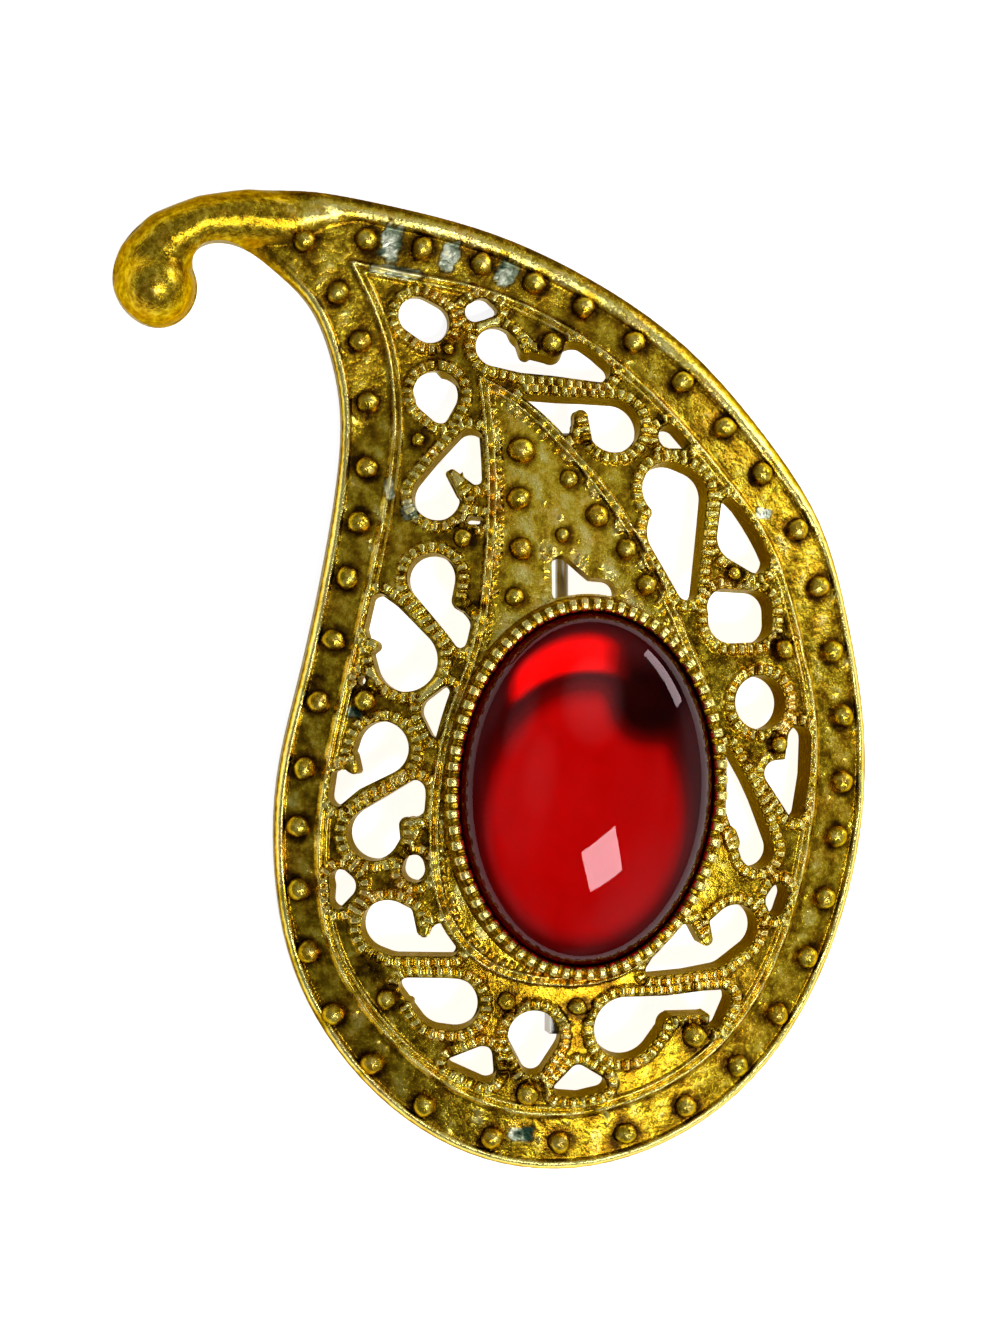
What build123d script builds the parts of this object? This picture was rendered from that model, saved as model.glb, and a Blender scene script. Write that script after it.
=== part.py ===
"""A drop-shaped filigree brooch: a pierced and domed casting, one oval stone and a pin stem behind."""

import os
from math import acos, atan2, cos, hypot, pi, sin, sqrt

from build123d import *

# Driving sizes, in millimetres. The brooch lies on its back: +X right, +Y to the hook, +Z outward.
LENGTH = 71.0
PLATE = 1.6
DOME_RISE = 5.6
RIDGE_HEIGHT = 0.45
RIM_WIDTH = 0.55
SKIRT_WALL = 0.9
RAIL_WIDTH = 0.55
LEAF_BORDER = 0.75
OPENING_MARGIN = 0.08
COLLAR_MARGIN = 0.3
STUD_RADIUS = 0.85
STUD_LIFT = 0.2
HOOK_HEIGHT = 3.4
KNOB_HEIGHT = 4.4

STONE_LONG = 25.0
STONE_WIDE = 18.0
STONE_GIRDLE = 1.0
STONE_CROWN = 4.1
STONE_TURN = -3.0
STONE_PLAY = 0.15
SEAT_SINK = 0.6
SEAT_CLEARANCE = 0.05
COLLAR_WALL = 0.95
COLLAR_HEIGHT = 2.0
TOOTH_COUNT = 72
TOOTH_DEPTH = 0.6
NOTCH_SHARE = 0.4

PIN_DIAMETER = 0.95
PIN_FLOOR = 0.9
FOOT_LONG = 3.6
FOOT_WIDE = 2.4

# Places in the plan are hundredths of the length, from the middle of the brooch's box.
UNIT = LENGTH / 100
DOME_AT = (8.1, -9.15)
DOME_HALF_WIDE = 31.0
DOME_HALF_LONG = 46.5
STONE_AT = (8.4, -11.0)
HINGE_AT = (7.1, 22.5)
CATCH_AT = (7.1, -33.5)

# The brooch's edge, clockwise from under the knob: x, y.
EDGE = (
    (-34.3, 35.6), (-37.2, 37.1), (-38.6, 40.0), (-38.1, 43.1), (-36.2, 45.8), (-33.0, 47.9),
    (-29.0, 49.1), (-24.0, 49.7), (-18.0, 49.4), (-10.0, 48.0), (0.0, 45.4), (10.0, 40.9),
    (20.0, 34.0), (28.0, 25.1), (33.9, 16.0), (36.8, 6.0), (38.3, -3.0), (38.5, -12.0),
    (36.8, -22.0), (33.0, -32.0), (26.6, -41.0), (17.5, -47.3), (8.0, -49.8), (-1.0, -48.8),
    (-9.0, -44.7), (-16.0, -37.6), (-20.3, -29.5), (-22.2, -20.0), (-22.0, -10.0),
    (-19.8, 0.0), (-17.6, 10.0), (-15.9, 20.0), (-15.5, 27.0), (-16.7, 33.5), (-18.9, 38.2),
    (-22.2, 41.5), (-25.5, 43.8), (-28.2, 44.3), (-30.0, 43.6), (-30.6, 42.3), (-30.2, 40.8),
    (-30.2, 38.6), (-31.8, 36.3),
)
# The inner rail of the studded band, clockwise from its corner under the hook: x, y.
RAIL = (
    (-14.5, 42.3), (-9.5, 41.3), (-2.0, 39.9), (6.5, 36.4), (12.5, 32.2), (18.0, 26.9),
    (23.5, 20.4), (28.2, 13.5), (30.9, 5.0), (32.6, -3.0), (32.7, -11.0), (31.3, -20.0),
    (28.4, -29.0), (23.5, -36.5), (16.5, -41.6), (8.0, -44.0), (0.0, -43.3), (-6.5, -40.0),
    (-12.5, -34.3), (-16.7, -27.0), (-18.0, -19.0), (-17.3, -9.5), (-15.3, 0.0),
    (-13.0, 9.5), (-11.0, 19.0), (-10.2, 27.0), (-11.2, 34.8),
)
# The leaf around the stone, clockwise from its tip: x, y.
LEAF = (
    (-2.0, 31.2), (2.2, 28.8), (7.0, 24.3), (11.5, 18.7), (15.3, 12.6), (18.4, 6.0),
    (21.0, -0.5), (22.4, -7.0), (21.8, -16.0), (18.0, -25.0), (12.5, -30.0), (5.0, -31.0),
    (-1.5, -29.2), (-5.7, -24.6), (-7.3, -18.0), (-7.0, -10.0), (-5.2, -2.5), (-3.0, 4.0),
    (-1.9, 11.0), (-1.3, 19.0), (-1.5, 26.0),
)
# Each opening is a run of circles, every one joined to the next: x, y, radius.
GAPS = (
    ((-7.8, 37.0, 1.9), (-6.5, 36.2, 2.0)),
    ((-1.9, 37.4, 1.0), (-1.2, 37.7, 1.1), (-0.1, 37.5, 0.5)),
    ((0.2, 33.8, 2.05), (2.8, 32.3, 1.2), (6.0, 31.75, 0.95), (8.3, 32.45, 1.95), (10.6, 31.4, 1.2)),
    ((-5.9, 29.0, 2.35), (-5.6, 27.0, 1.1)),
    ((6.95, 25.4, 0.75), (6.0, 27.2, 1.5), (9.0, 27.2, 1.4), (11.9, 25.7, 2.75)),
    ((3.3, 28.25, 0.65), (6.0, 27.2, 1.5)),
    ((17.75, 24.65, 1.2), (19.25, 24.35, 0.9)),
    ((-2.3, 20.8, 1.2), (-2.7, 23.85, 1.45), (-5.2, 21.3, 1.4), (-6.1, 18.5, 2.5)),
    ((-2.85, 16.0, 0.42), (-2.0, 15.95, 0.38)),
    ((17.5, 19.2, 2.85), (18.8, 18.9, 2.65), (17.95, 14.8, 2.95), (19.05, 9.0, 1.05)),
    ((23.8, 17.6, 0.85), (24.85, 14.3, 2.45), (26.6, 12.35, 1.6)),
    ((23.1, 7.2, 1.95), (26.2, 7.0, 2.0), (26.1, 5.8, 2.1), (23.6, 6.0, 2.4)),
    ((-6.75, 10.2, 2.5), (-6.1, 7.6, 1.35), (-4.2, 5.3, 1.4), (-3.95, 3.9, 0.8)),
    ((-9.35, 1.95, 3.25), (-11.4, 5.7, 2.15), (-12.0, 7.6, 1.0)),
    ((26.75, -2.4, 2.75),),
    ((-13.7, -0.15, 0.5),),
    ((-5.55, -1.4, 0.65), (-6.5, -3.2, 1.5), (-6.35, -5.1, 0.8)),
    ((-11.75, -7.0, 2.75), (-14.5, -10.2, 1.15), (-16.05, -10.3, 1.1), (-16.15, -11.9, 0.95)),
    ((-14.5, -10.2, 1.15), (-16.15, -11.9, 0.95)),
    ((-12.6, -15.6, 2.7), (-8.55, -11.35, 1.2), (-8.4, -12.8, 1.1)),
    ((23.05, -7.4, 0.5), (24.15, -11.0, 1.4), (24.8, -13.2, 1.8), (26.4, -17.35, 1.9)),
    ((31.05, -6.1, 1.3), (30.7, -9.6, 1.5), (28.45, -9.6, 1.3), (30.6, -13.3, 0.95)),
    ((30.7, -9.6, 1.5), (30.6, -13.3, 0.95)),
    ((-15.9, -20.3, 1.1), (-15.5, -21.0, 1.35), (-16.1, -22.4, 0.85)),
    ((-8.6, -18.8, 1.15), (-8.6, -19.2, 1.25)),
    ((-11.2, -24.9, 2.65), (-10.3, -25.3, 2.6), (-6.3, -26.9, 1.0), (-5.1, -27.0, 0.9), (-6.0, -25.4, 0.85)),
    ((28.9, -21.95, 1.05), (28.55, -22.6, 1.15), (28.6, -23.4, 0.85)),
    ((24.2, -25.3, 2.4), (22.0, -27.0, 2.3), (18.9, -27.3, 2.5), (15.4, -29.4, 0.65)),
    ((-9.1, -31.05, 0.95), (-5.8, -32.7, 2.6), (-4.6, -32.8, 2.65)),
    ((3.5, -36.0, 2.6), (3.4, -38.9, 1.15)),
    ((12.8, -35.3, 3.2), (17.0, -33.1, 1.05), (21.0, -32.9, 1.25), (22.8, -32.7, 1.1), (22.3, -34.9, 0.7)),
    ((-4.5, -38.8, 0.6), (-1.6, -38.3, 1.25), (-1.25, -39.75, 1.05), (-4.5, -38.8, 0.6)),
    ((8.1, -39.9, 0.9), (6.4, -41.5, 0.75), (8.2, -41.55, 0.85), (10.2, -41.1, 0.85), (8.1, -39.9, 0.9)),
)
# The one opening inside the leaf, above the stone: x, y, radius.
LEAF_GAPS = (
    ((6.6, 10.7, 1.0), (6.7, 8.7, 1.0), (8.7, 8.6, 1.1), (11.0, 8.3, 1.05)),
)
# Scroll ends that reach into the openings, each from root to tip: x, y, radius.
PRONGS = (
    ((8.75, 23.6, 0.95), (8.55, 26.6, 0.72)),
    ((3.3, 35.0, 1.1), (3.2, 33.7, 0.65)),
    ((5.9, 35.2, 1.4), (5.9, 34.0, 1.25)),
    ((-3.1, 18.9, 0.95), (-4.6, 20.8, 0.4)),
    ((14.2, 16.8, 0.9), (14.8, 16.8, 0.75)),
    ((-3.0, 8.2, 1.1), (-3.6, 7.9, 1.05)),
    ((-13.9, 3.2, 1.1), (-12.8, 3.45, 0.6)),
    ((-15.4, -7.9, 0.9), (-14.6, -9.2, 0.4)),
    ((-8.7, -16.2, 1.1), (-9.1, -14.75, 0.85)),
    ((23.3, -16.6, 1.2), (23.2, -15.9, 1.05)),
    ((28.7, -6.2, 1.0), (28.6, -6.9, 0.95)),
    ((-7.6, -23.2, 1.0), (-7.6, -25.5, 0.5)),
    ((20.1, -23.8, 1.1), (21.1, -26.4, 0.65)),
    ((-10.2, -33.4, 0.9), (-9.1, -32.9, 0.4)),
    ((19.8, -37.0, 2.3), (19.3, -36.2, 1.9)),
    ((17.9, -37.0, 1.4), (17.8, -35.4, 1.2)),
)
# The milled wires of the small leaf inside the leaf: x, y, radius.
INNER_WIRES = (
    ((4.6, 18.6, 0.4), (4.3, 14.0, 0.42), (4.4, 9.4, 0.4)),
    ((4.6, 18.6, 0.4), (7.4, 15.0, 0.42), (9.0, 12.4, 0.4)),
)
# The studs of the band, clockwise from the hook: x, y.
BAND_STUDS = (
    (-19.3, 44.4), (-13.0, 44.6), (-7.3, 43.8), (-1.2, 42.3), (4.2, 40.4), (9.3, 38.0), (14.4, 34.4),
    (19.3, 30.3), (23.6, 25.7), (27.5, 21.0), (31.2, 15.3), (33.4, 9.4), (34.8, 2.8), (35.9, -3.8),
    (35.8, -10.6), (35.2, -16.2), (34.0, -22.5), (32.1, -28.5), (29.0, -34.3), (24.8, -39.5),
    (19.4, -43.5), (13.2, -46.2), (6.4, -47.0), (-0.4, -46.5), (-7.3, -43.2), (-12.5, -38.9),
    (-16.4, -33.9), (-18.9, -27.6), (-19.9, -21.3), (-20.0, -14.9), (-19.4, -9.0), (-18.0, -2.3),
    (-16.5, 3.9), (-15.1, 10.2), (-13.9, 15.8), (-13.0, 21.4), (-12.8, 28.1), (-13.6, 34.3),
    (-15.9, 39.2),
)
# Single studs, on the leaf first and then among the openings: x, y, size beside a band stud.
STUDS = (
    (2.4, 23.1, 1.15), (2.0, 18.2, 1.0), (7.1, 20.2, 0.8), (9.9, 16.5, 1.0), (6.3, 14.5, 0.65),
    (2.1, 13.1, 0.95), (12.8, 13.1, 0.9), (14.8, 9.5, 0.9), (1.4, 8.2, 0.85),
    (-3.7, 14.2, 0.8), (-4.6, 33.6, 0.5), (-7.9, 24.2, 0.6), (5.9, 34.2, 0.95),
    (24.1, 10.7, 0.6), (29.4, 3.0, 0.85), (28.7, -6.7, 0.75), (-13.5, -2.2, 0.95),
    (-11.2, -32.3, 0.9), (0.7, -32.4, 0.8), (7.8, -33.0, 0.8), (3.0, -42.0, 1.0), (20.0, -36.2, 1.1),
)
# The hook's round back, from the band to the knob: x, y, half width, share of the hook's height.
HOOK = (
    (-20.5, 46.2, 2.6, 0.62), (-25.0, 46.9, 2.45, 0.85), (-29.3, 46.4, 2.35, 1.0),
    (-33.0, 44.4, 2.9, 1.0), (-34.4, 42.0, 3.5, 1.0),
)
KNOB = (-34.4, 39.7, 4.05)

DOME_RADIUS = ((DOME_HALF_WIDE * UNIT) ** 2 + DOME_RISE**2) / (2 * DOME_RISE)
DOME_STRETCH = DOME_HALF_LONG / DOME_HALF_WIDE
CROWN = PLATE + DOME_RISE
SEAT = CROWN - SEAT_SINK
COLLAR_FOOT = SEAT - PLATE
COLLAR_TOP = SEAT + COLLAR_HEIGHT
INSIDE = PLATE / 3
FAR = 2 * LENGTH

with BuildLine() as drawn_edge:
    Spline(*[(x * UNIT, y * UNIT) for x, y in EDGE], periodic=True)
MIDDLE = drawn_edge.line.bounding_box().center()


def place(x, y):
    """A place of the tables, in millimetres from the middle of the edge's box."""
    return (x * UNIT - MIDDLE.X, y * UNIT - MIDDLE.Y)


DOME_X, DOME_Y = place(*DOME_AT)


def surface(x, y):
    """The height of the plate's front at a point."""
    off = (x - DOME_X) ** 2 + ((y - DOME_Y) / DOME_STRETCH) ** 2
    return max(sqrt(max(DOME_RADIUS**2 - off, 0.0)) + CROWN - DOME_RADIUS, PLATE)


def closed_face(rows, corner=False, inward=0.0):
    """A face inside the smooth line through clockwise rows, or inside a line drawn in from it."""
    points = [place(x, y) for x, y in rows]
    with BuildLine() as drawn:
        if corner:
            Spline(*points, points[0])
        else:
            Spline(*points, periodic=True)
    if inward:
        steps = 2 * len(rows)
        places = [(drawn.line @ (k / steps), drawn.line % (k / steps)) for k in range(steps)]
        points = [(at.X + inward * way.Y, at.Y - inward * way.X) for at, way in places]
        if corner:
            tip, leaving, arriving = places[0][0], places[0][1], drawn.line % 1
            share = inward / (1 + leaving.X * arriving.X + leaving.Y * arriving.Y)
            points[0] = (tip.X + share * (leaving.Y + arriving.Y), tip.Y - share * (leaving.X + arriving.X))
    with BuildSketch() as face:
        with BuildLine():
            if corner:
                Spline(*points, points[0])
            else:
                Spline(*points, periodic=True)
        make_face()
    return face.sketch


def disc(x, y, radius):
    with BuildSketch() as shape:
        with Locations((x, y)):
            Circle(radius)
    return shape.sketch


def link(first, second, grow):
    """Two circles and the lines that touch both, as one face."""
    x1, y1 = place(first[0], first[1])
    x2, y2 = place(second[0], second[1])
    r1 = first[2] * UNIT + grow
    r2 = second[2] * UNIT + grow
    apart = hypot(x2 - x1, y2 - y1)
    if apart <= abs(r1 - r2) + 0.001:
        return disc(x1, y1, r1) if r1 > r2 else disc(x2, y2, r2)
    along = atan2(y2 - y1, x2 - x1)
    side = acos((r1 - r2) / apart)

    def on_first(angle):
        return (x1 + r1 * cos(angle), y1 + r1 * sin(angle))

    def on_second(angle):
        return (x2 + r2 * cos(angle), y2 + r2 * sin(angle))

    with BuildSketch() as shape:
        with BuildLine():
            Line(on_first(along + side), on_second(along + side))
            ThreePointArc(on_second(along + side), on_second(along), on_second(along - side))
            Line(on_second(along - side), on_first(along - side))
            ThreePointArc(on_first(along - side), on_first(along + pi), on_first(along + side))
        make_face()
    return shape.sketch


def chains(rows, grow=0.0):
    """Runs of circles as one flat region, grown all round."""
    links = []
    for chain in rows:
        if len(chain) == 1:
            x, y = place(chain[0][0], chain[0][1])
            links.append(disc(x, y, chain[0][2] * UNIT + grow))
        for first, second in zip(chain, chain[1:]):
            links.append(link(first, second, grow))
    with BuildSketch() as region:
        add(links)
    return region.sketch


def oval(play):
    """The stone's oval, grown all round."""
    with BuildSketch() as shape:
        with Locations(Location((*place(*STONE_AT), 0), (0, 0, STONE_TURN))):
            Ellipse(STONE_WIDE / 2 + play, STONE_LONG / 2 + play)
    return shape.sketch


def prism(face, low, high):
    """A flat region as an upright solid between two heights."""
    with BuildPart() as solid:
        with BuildSketch(Plane.XY.offset(low)):
            add(face)
        extrude(amount=high - low)
    return solid.part


def dome(grow, bottom=-PLATE):
    """The solid under the oval dome down to a height, or under the surface that lies grow above it."""
    with BuildPart() as cap:
        Sphere(DOME_RADIUS + grow, rotation=(90, 0, 0))
        with Locations((0, 0, DOME_RADIUS - CROWN + bottom + FAR / 2)):
            Box(FAR, FAR, FAR, mode=Mode.INTERSECT)
    with BuildPart() as solid:
        with Locations((DOME_X, DOME_Y, CROWN - DOME_RADIUS)):
            add(scale(cap.part, by=(1, DOME_STRETCH, 1), mode=Mode.PRIVATE))
    return solid.part


def half_egg(wide, long, high):
    """The upper half of a ball, stretched to its three half sizes."""
    with BuildPart() as ball:
        Sphere(1, rotation=(90, 0, 0))
        Box(2, 2, 1, align=(Align.CENTER, Align.CENTER, Align.MIN), mode=Mode.INTERSECT)
    return scale(ball.part, by=(wide, long, high), mode=Mode.PRIVATE)


def bar_section(row, ahead):
    """One cross-section of the hook's bar: half an oval that stands inside the plate."""
    x, y, half_wide, height = row
    at = Plane((*place(x, y), INSIDE), x_dir=(-ahead[1], ahead[0], 0), z_dir=(ahead[0], ahead[1], 0))
    side = half_wide * UNIT
    with BuildSketch(at) as shape:
        with BuildLine():
            Spline((side, 0), (0, height * HOOK_HEIGHT - INSIDE), (-side, 0), tangents=((0, 1), (0, -1)))
            Line((-side, 0), (side, 0))
        make_face()
    return shape.sketch


edge_face = closed_face(EDGE)
leaf_face = closed_face(LEAF, corner=True)
cup_inside = oval(STONE_PLAY)
cup_outside = oval(STONE_PLAY + COLLAR_WALL)

with BuildSketch() as openings:
    add(chains(GAPS))
    add(chains(PRONGS), mode=Mode.SUBTRACT)
    add(closed_face(LEAF, True, -OPENING_MARGIN), mode=Mode.SUBTRACT)
    add(chains(LEAF_GAPS))
    add(oval(STONE_PLAY + COLLAR_WALL + COLLAR_MARGIN), mode=Mode.SUBTRACT)
    add(closed_face(RAIL, True, RAIL_WIDTH / 2 + OPENING_MARGIN), mode=Mode.INTERSECT)

with BuildSketch() as leaf_border:
    add(leaf_face)
    add(closed_face(LEAF, True, LEAF_BORDER), mode=Mode.SUBTRACT)

inner_wires = chains(INNER_WIRES)

with BuildSketch() as rail:
    add(closed_face(RAIL, True, -RAIL_WIDTH / 2))
    add(closed_face(RAIL, True, RAIL_WIDTH / 2), mode=Mode.SUBTRACT)

with BuildSketch() as rim:
    add(closed_face(EDGE, inward=-RIM_WIDTH))
    add(closed_face(EDGE, inward=RIM_WIDTH), mode=Mode.SUBTRACT)


def front(grow):
    """Everything under the domed front and the flat plate, or under what lies grow above them."""
    with BuildPart() as solid:
        add(dome(grow, INSIDE))
        with Locations((DOME_X, DOME_Y, 0)):
            Box(FAR, FAR, PLATE + grow, align=(Align.CENTER, Align.CENTER, Align.MIN))
    return solid.part


def raised(region):
    """A ridge that follows the front over a region of the plan."""
    with BuildPart() as solid:
        add(prism(region, INSIDE, FAR))
        add(front(RIDGE_HEIGHT), mode=Mode.INTERSECT)
    return solid.part


def studs():
    """Half-round studs on the band, then the single ones."""
    balls = []
    for x, y, size in [(*row, 1.0) for row in BAND_STUDS] + list(STUDS):
        radius = size * STUD_RADIUS
        across, along = place(x, y)
        with BuildPart() as ball:
            with Locations((across, along, surface(across, along) + STUD_LIFT * radius)):
                Sphere(radius)
        balls.append(ball.part)
    return balls


def tooth_notches():
    """The slots between the teeth of the stone's collar, square to the oval."""
    wide = STONE_WIDE / 2 + STONE_PLAY + COLLAR_WALL / 2
    long = STONE_LONG / 2 + STONE_PLAY + COLLAR_WALL / 2
    pitch = pi * (wide + long) / TOOTH_COUNT
    turn = STONE_TURN * pi / 180
    middle = place(*STONE_AT)
    slots = []
    for k in range(TOOTH_COUNT):
        angle = 2 * pi * (k + 0.5) / TOOTH_COUNT
        x, y = wide * cos(angle), long * sin(angle)
        facing = atan2(y / long**2, x / wide**2)
        across = middle[0] + x * cos(turn) - y * sin(turn)
        along = middle[1] + x * sin(turn) + y * cos(turn)
        with BuildPart() as slot:
            with Locations(Location((across, along, COLLAR_TOP), (0, 0, (facing + turn) * 180 / pi))):
                Box(3 * COLLAR_WALL, NOTCH_SHARE * pitch, 2 * TOOTH_DEPTH)
        slots.append(slot.part)
    return slots


with BuildPart() as hook_bar:
    for k, row in enumerate(HOOK):
        before = HOOK[max(k - 1, 0)]
        after = HOOK[min(k + 1, len(HOOK) - 1)]
        step = hypot(after[0] - before[0], after[1] - before[1])
        add(bar_section(row, ((after[0] - before[0]) / step, (after[1] - before[1]) / step)))
    loft()
    with Locations((*place(KNOB[0], KNOB[1]), INSIDE)):
        add(half_egg(KNOB[2] * UNIT, KNOB[2] * UNIT, KNOB_HEIGHT - INSIDE))

with BuildPart() as body:
    add(front(0.0))
    for region in (leaf_border.sketch, inner_wires, rail.sketch, rim.sketch):
        add(raised(region))
    add(prism(cup_outside, COLLAR_FOOT, COLLAR_TOP))
    add(prism(cup_inside, SEAT, FAR), mode=Mode.SUBTRACT)
    with BuildPart(mode=Mode.SUBTRACT):
        add(dome(-PLATE))
        add(prism(closed_face(EDGE, inward=SKIRT_WALL), -FAR, FAR), mode=Mode.INTERSECT)
    add(prism(edge_face, -FAR, FAR), mode=Mode.INTERSECT)
    add(hook_bar.part)
    add(prism(openings.sketch, -FAR, FAR), mode=Mode.SUBTRACT)
    add(studs())
    add(tooth_notches(), mode=Mode.SUBTRACT)
body.part.label = "body"

with BuildPart() as cabochon:
    with BuildSketch(Plane.XY.offset(SEAT + SEAT_CLEARANCE)):
        add(oval(0.0))
    extrude(amount=STONE_GIRDLE)
    with Locations(Location((*place(*STONE_AT), SEAT + SEAT_CLEARANCE + STONE_GIRDLE), (0, 0, STONE_TURN))):
        add(half_egg(STONE_WIDE / 2, STONE_LONG / 2, STONE_CROWN))
cabochon.part.label = "cabochon"

with BuildPart() as pin:
    for at in (HINGE_AT, CATCH_AT):
        with Locations((*place(*at), PIN_FLOOR)):
            Box(FOOT_WIDE, FOOT_LONG, CROWN, align=(Align.CENTER, Align.CENTER, Align.MIN))
    add(dome(-PLATE - SEAT_CLEARANCE), mode=Mode.INTERSECT)
    stem_low = place(*CATCH_AT)
    stem_high = place(*HINGE_AT)
    with BuildSketch(Plane.XZ.offset(-stem_high[1])):
        with Locations((stem_high[0], PIN_FLOOR + PIN_DIAMETER / 2)):
            Circle(PIN_DIAMETER / 2)
    extrude(amount=stem_high[1] - stem_low[1])
pin.part.label = "pin"

os.makedirs("parts", exist_ok=True)
export_step(body.part, "parts/body.step")
export_step(cabochon.part, "parts/cabochon.step")
export_step(pin.part, "parts/pin.step")
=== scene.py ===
import math

import bpy
import numpy as np
from mathutils import Matrix, Quaternion, Vector
from mathutils.kdtree import KDTree


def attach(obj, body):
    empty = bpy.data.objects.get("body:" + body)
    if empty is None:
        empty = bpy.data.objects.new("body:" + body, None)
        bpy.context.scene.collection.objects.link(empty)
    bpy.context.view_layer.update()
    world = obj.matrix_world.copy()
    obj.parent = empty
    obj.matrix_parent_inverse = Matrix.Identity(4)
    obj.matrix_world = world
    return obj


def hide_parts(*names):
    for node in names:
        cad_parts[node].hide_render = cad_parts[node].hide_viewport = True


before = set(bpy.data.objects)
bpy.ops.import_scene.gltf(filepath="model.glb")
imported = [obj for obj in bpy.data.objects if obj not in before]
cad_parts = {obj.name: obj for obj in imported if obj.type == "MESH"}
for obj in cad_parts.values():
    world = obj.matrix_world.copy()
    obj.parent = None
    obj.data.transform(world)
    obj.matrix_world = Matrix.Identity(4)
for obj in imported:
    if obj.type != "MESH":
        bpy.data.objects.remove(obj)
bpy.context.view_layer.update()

# Sizes as in the part's own source: in millimetres, but places, the radii beside them and the dome's half
# widths in hundredths of the brooch's length
LENGTH = 71.0
UNIT = LENGTH / 100
PLATE = 1.6
DOME_RISE = 5.6
DOME_AT = (8.1, -9.15)
DOME_HALF_WIDE = 31.0
DOME_HALF_LONG = 46.5
RAIL_WIDTH = 0.55
SKIRT_WALL = 0.9
STUD_RADIUS = 0.85
HOOK_HEIGHT = 3.4
KNOB_HEIGHT = 4.4
STONE_AT = (8.4, -11.0)
STONE_LONG = 25.0
STONE_WIDE = 18.0
STONE_GIRDLE = 1.0
STONE_CROWN = 4.1
STONE_TURN = math.radians(-3.0)
STONE_PLAY = 0.15
SEAT_SINK = 0.6
SEAT_CLEARANCE = 0.05
COLLAR_WALL = 0.95
COLLAR_HEIGHT = 2.0
TOOTH_COUNT = 72
CROWN = PLATE + DOME_RISE
SEAT = CROWN - SEAT_SINK
COLLAR_TOP = SEAT + COLLAR_HEIGHT
STEP = 0.105
MM = 0.001

# Relief of the front over the plain casting, in millimetres; a bowl's start is a share of its stud's radius
RIM_WIDE = 0.34
RIM_FLANK = 0.42
RIM_HEIGHT = 0.5
BAND_DEPTH = 0.22
BOWL_DEPTH = 0.42
BOWL_WIDE = 0.55
BOWL_START = 1.02
LIP_AT = 0.62
LIP_WIDE = 0.16
LIP_HEIGHT = 0.14
RAIL_HEIGHT = 0.46
RAIL_SECOND = 0.3
WIRE_LINE = 0.45
WIRE_REACH = 0.75
WIRE_PITCH = 0.7
WIRE_HEIGHT = 0.54
LEAF_PITCH = 0.68
LEAF_DEPTH = 0.42
INNER_PITCH = 0.66
INNER_HEIGHT = 0.5
CRUMPLE_DEPTH = 0.14
# The leaf's two ridges and its row of teeth: distance in from the edge, half width, height.
LEAF_RIDGES = ((0.2, 0.15, 0.5), (0.66, 0.15, 0.44), (1.1, 0.25, 0.26))

# The studs' shape: how far they wrap, in quarter turns, and how wide the foot is beside the radius
STUD_WRAP = 1.12
STUD_FOOT = 1.06

# The foil: how far inside the stone's outline and above its back it lies, and how much its rim rises
FOIL_TRIM = 0.1
FOIL_LIFT = 0.01
FOIL_RISE = 0.02

# How finely the pieces are cut
LINE_STEPS = 5
WALL_LEVELS = 5
STUD_RINGS = 9
STUD_SPOKES = 22
TOOTH_POINTS = 14
STONE_SPOKES = 160
CROWN_ROWS = 34
FOIL_RINGS = 48

# The brooch's edge, clockwise from under the knob: x, y.
EDGE = (
    (-34.3, 35.6), (-37.2, 37.1), (-38.6, 40.0), (-38.1, 43.1), (-36.2, 45.8), (-33.0, 47.9),
    (-29.0, 49.1), (-24.0, 49.7), (-18.0, 49.4), (-10.0, 48.0), (0.0, 45.4), (10.0, 40.9),
    (20.0, 34.0), (28.0, 25.1), (33.9, 16.0), (36.8, 6.0), (38.3, -3.0), (38.5, -12.0),
    (36.8, -22.0), (33.0, -32.0), (26.6, -41.0), (17.5, -47.3), (8.0, -49.8), (-1.0, -48.8),
    (-9.0, -44.7), (-16.0, -37.6), (-20.3, -29.5), (-22.2, -20.0), (-22.0, -10.0),
    (-19.8, 0.0), (-17.6, 10.0), (-15.9, 20.0), (-15.5, 27.0), (-16.7, 33.5), (-18.9, 38.2),
    (-22.2, 41.5), (-25.5, 43.8), (-28.2, 44.3), (-30.0, 43.6), (-30.6, 42.3), (-30.2, 40.8),
    (-30.2, 38.6), (-31.8, 36.3),
)
# The inner rail of the studded band, clockwise from its corner under the hook: x, y.
RAIL = (
    (-14.5, 42.3), (-9.5, 41.3), (-2.0, 39.9), (6.5, 36.4), (12.5, 32.2), (18.0, 26.9),
    (23.5, 20.4), (28.2, 13.5), (30.9, 5.0), (32.6, -3.0), (32.7, -11.0), (31.3, -20.0),
    (28.4, -29.0), (23.5, -36.5), (16.5, -41.6), (8.0, -44.0), (0.0, -43.3), (-6.5, -40.0),
    (-12.5, -34.3), (-16.7, -27.0), (-18.0, -19.0), (-17.3, -9.5), (-15.3, 0.0),
    (-13.0, 9.5), (-11.0, 19.0), (-10.2, 27.0), (-11.2, 34.8),
)
# The leaf around the stone, clockwise from its tip: x, y.
LEAF = (
    (-2.0, 31.2), (2.2, 28.8), (7.0, 24.3), (11.5, 18.7), (15.3, 12.6), (18.4, 6.0),
    (21.0, -0.5), (22.4, -7.0), (21.8, -16.0), (18.0, -25.0), (12.5, -30.0), (5.0, -31.0),
    (-1.5, -29.2), (-5.7, -24.6), (-7.3, -18.0), (-7.0, -10.0), (-5.2, -2.5), (-3.0, 4.0),
    (-1.9, 11.0), (-1.3, 19.0), (-1.5, 26.0),
)
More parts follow.
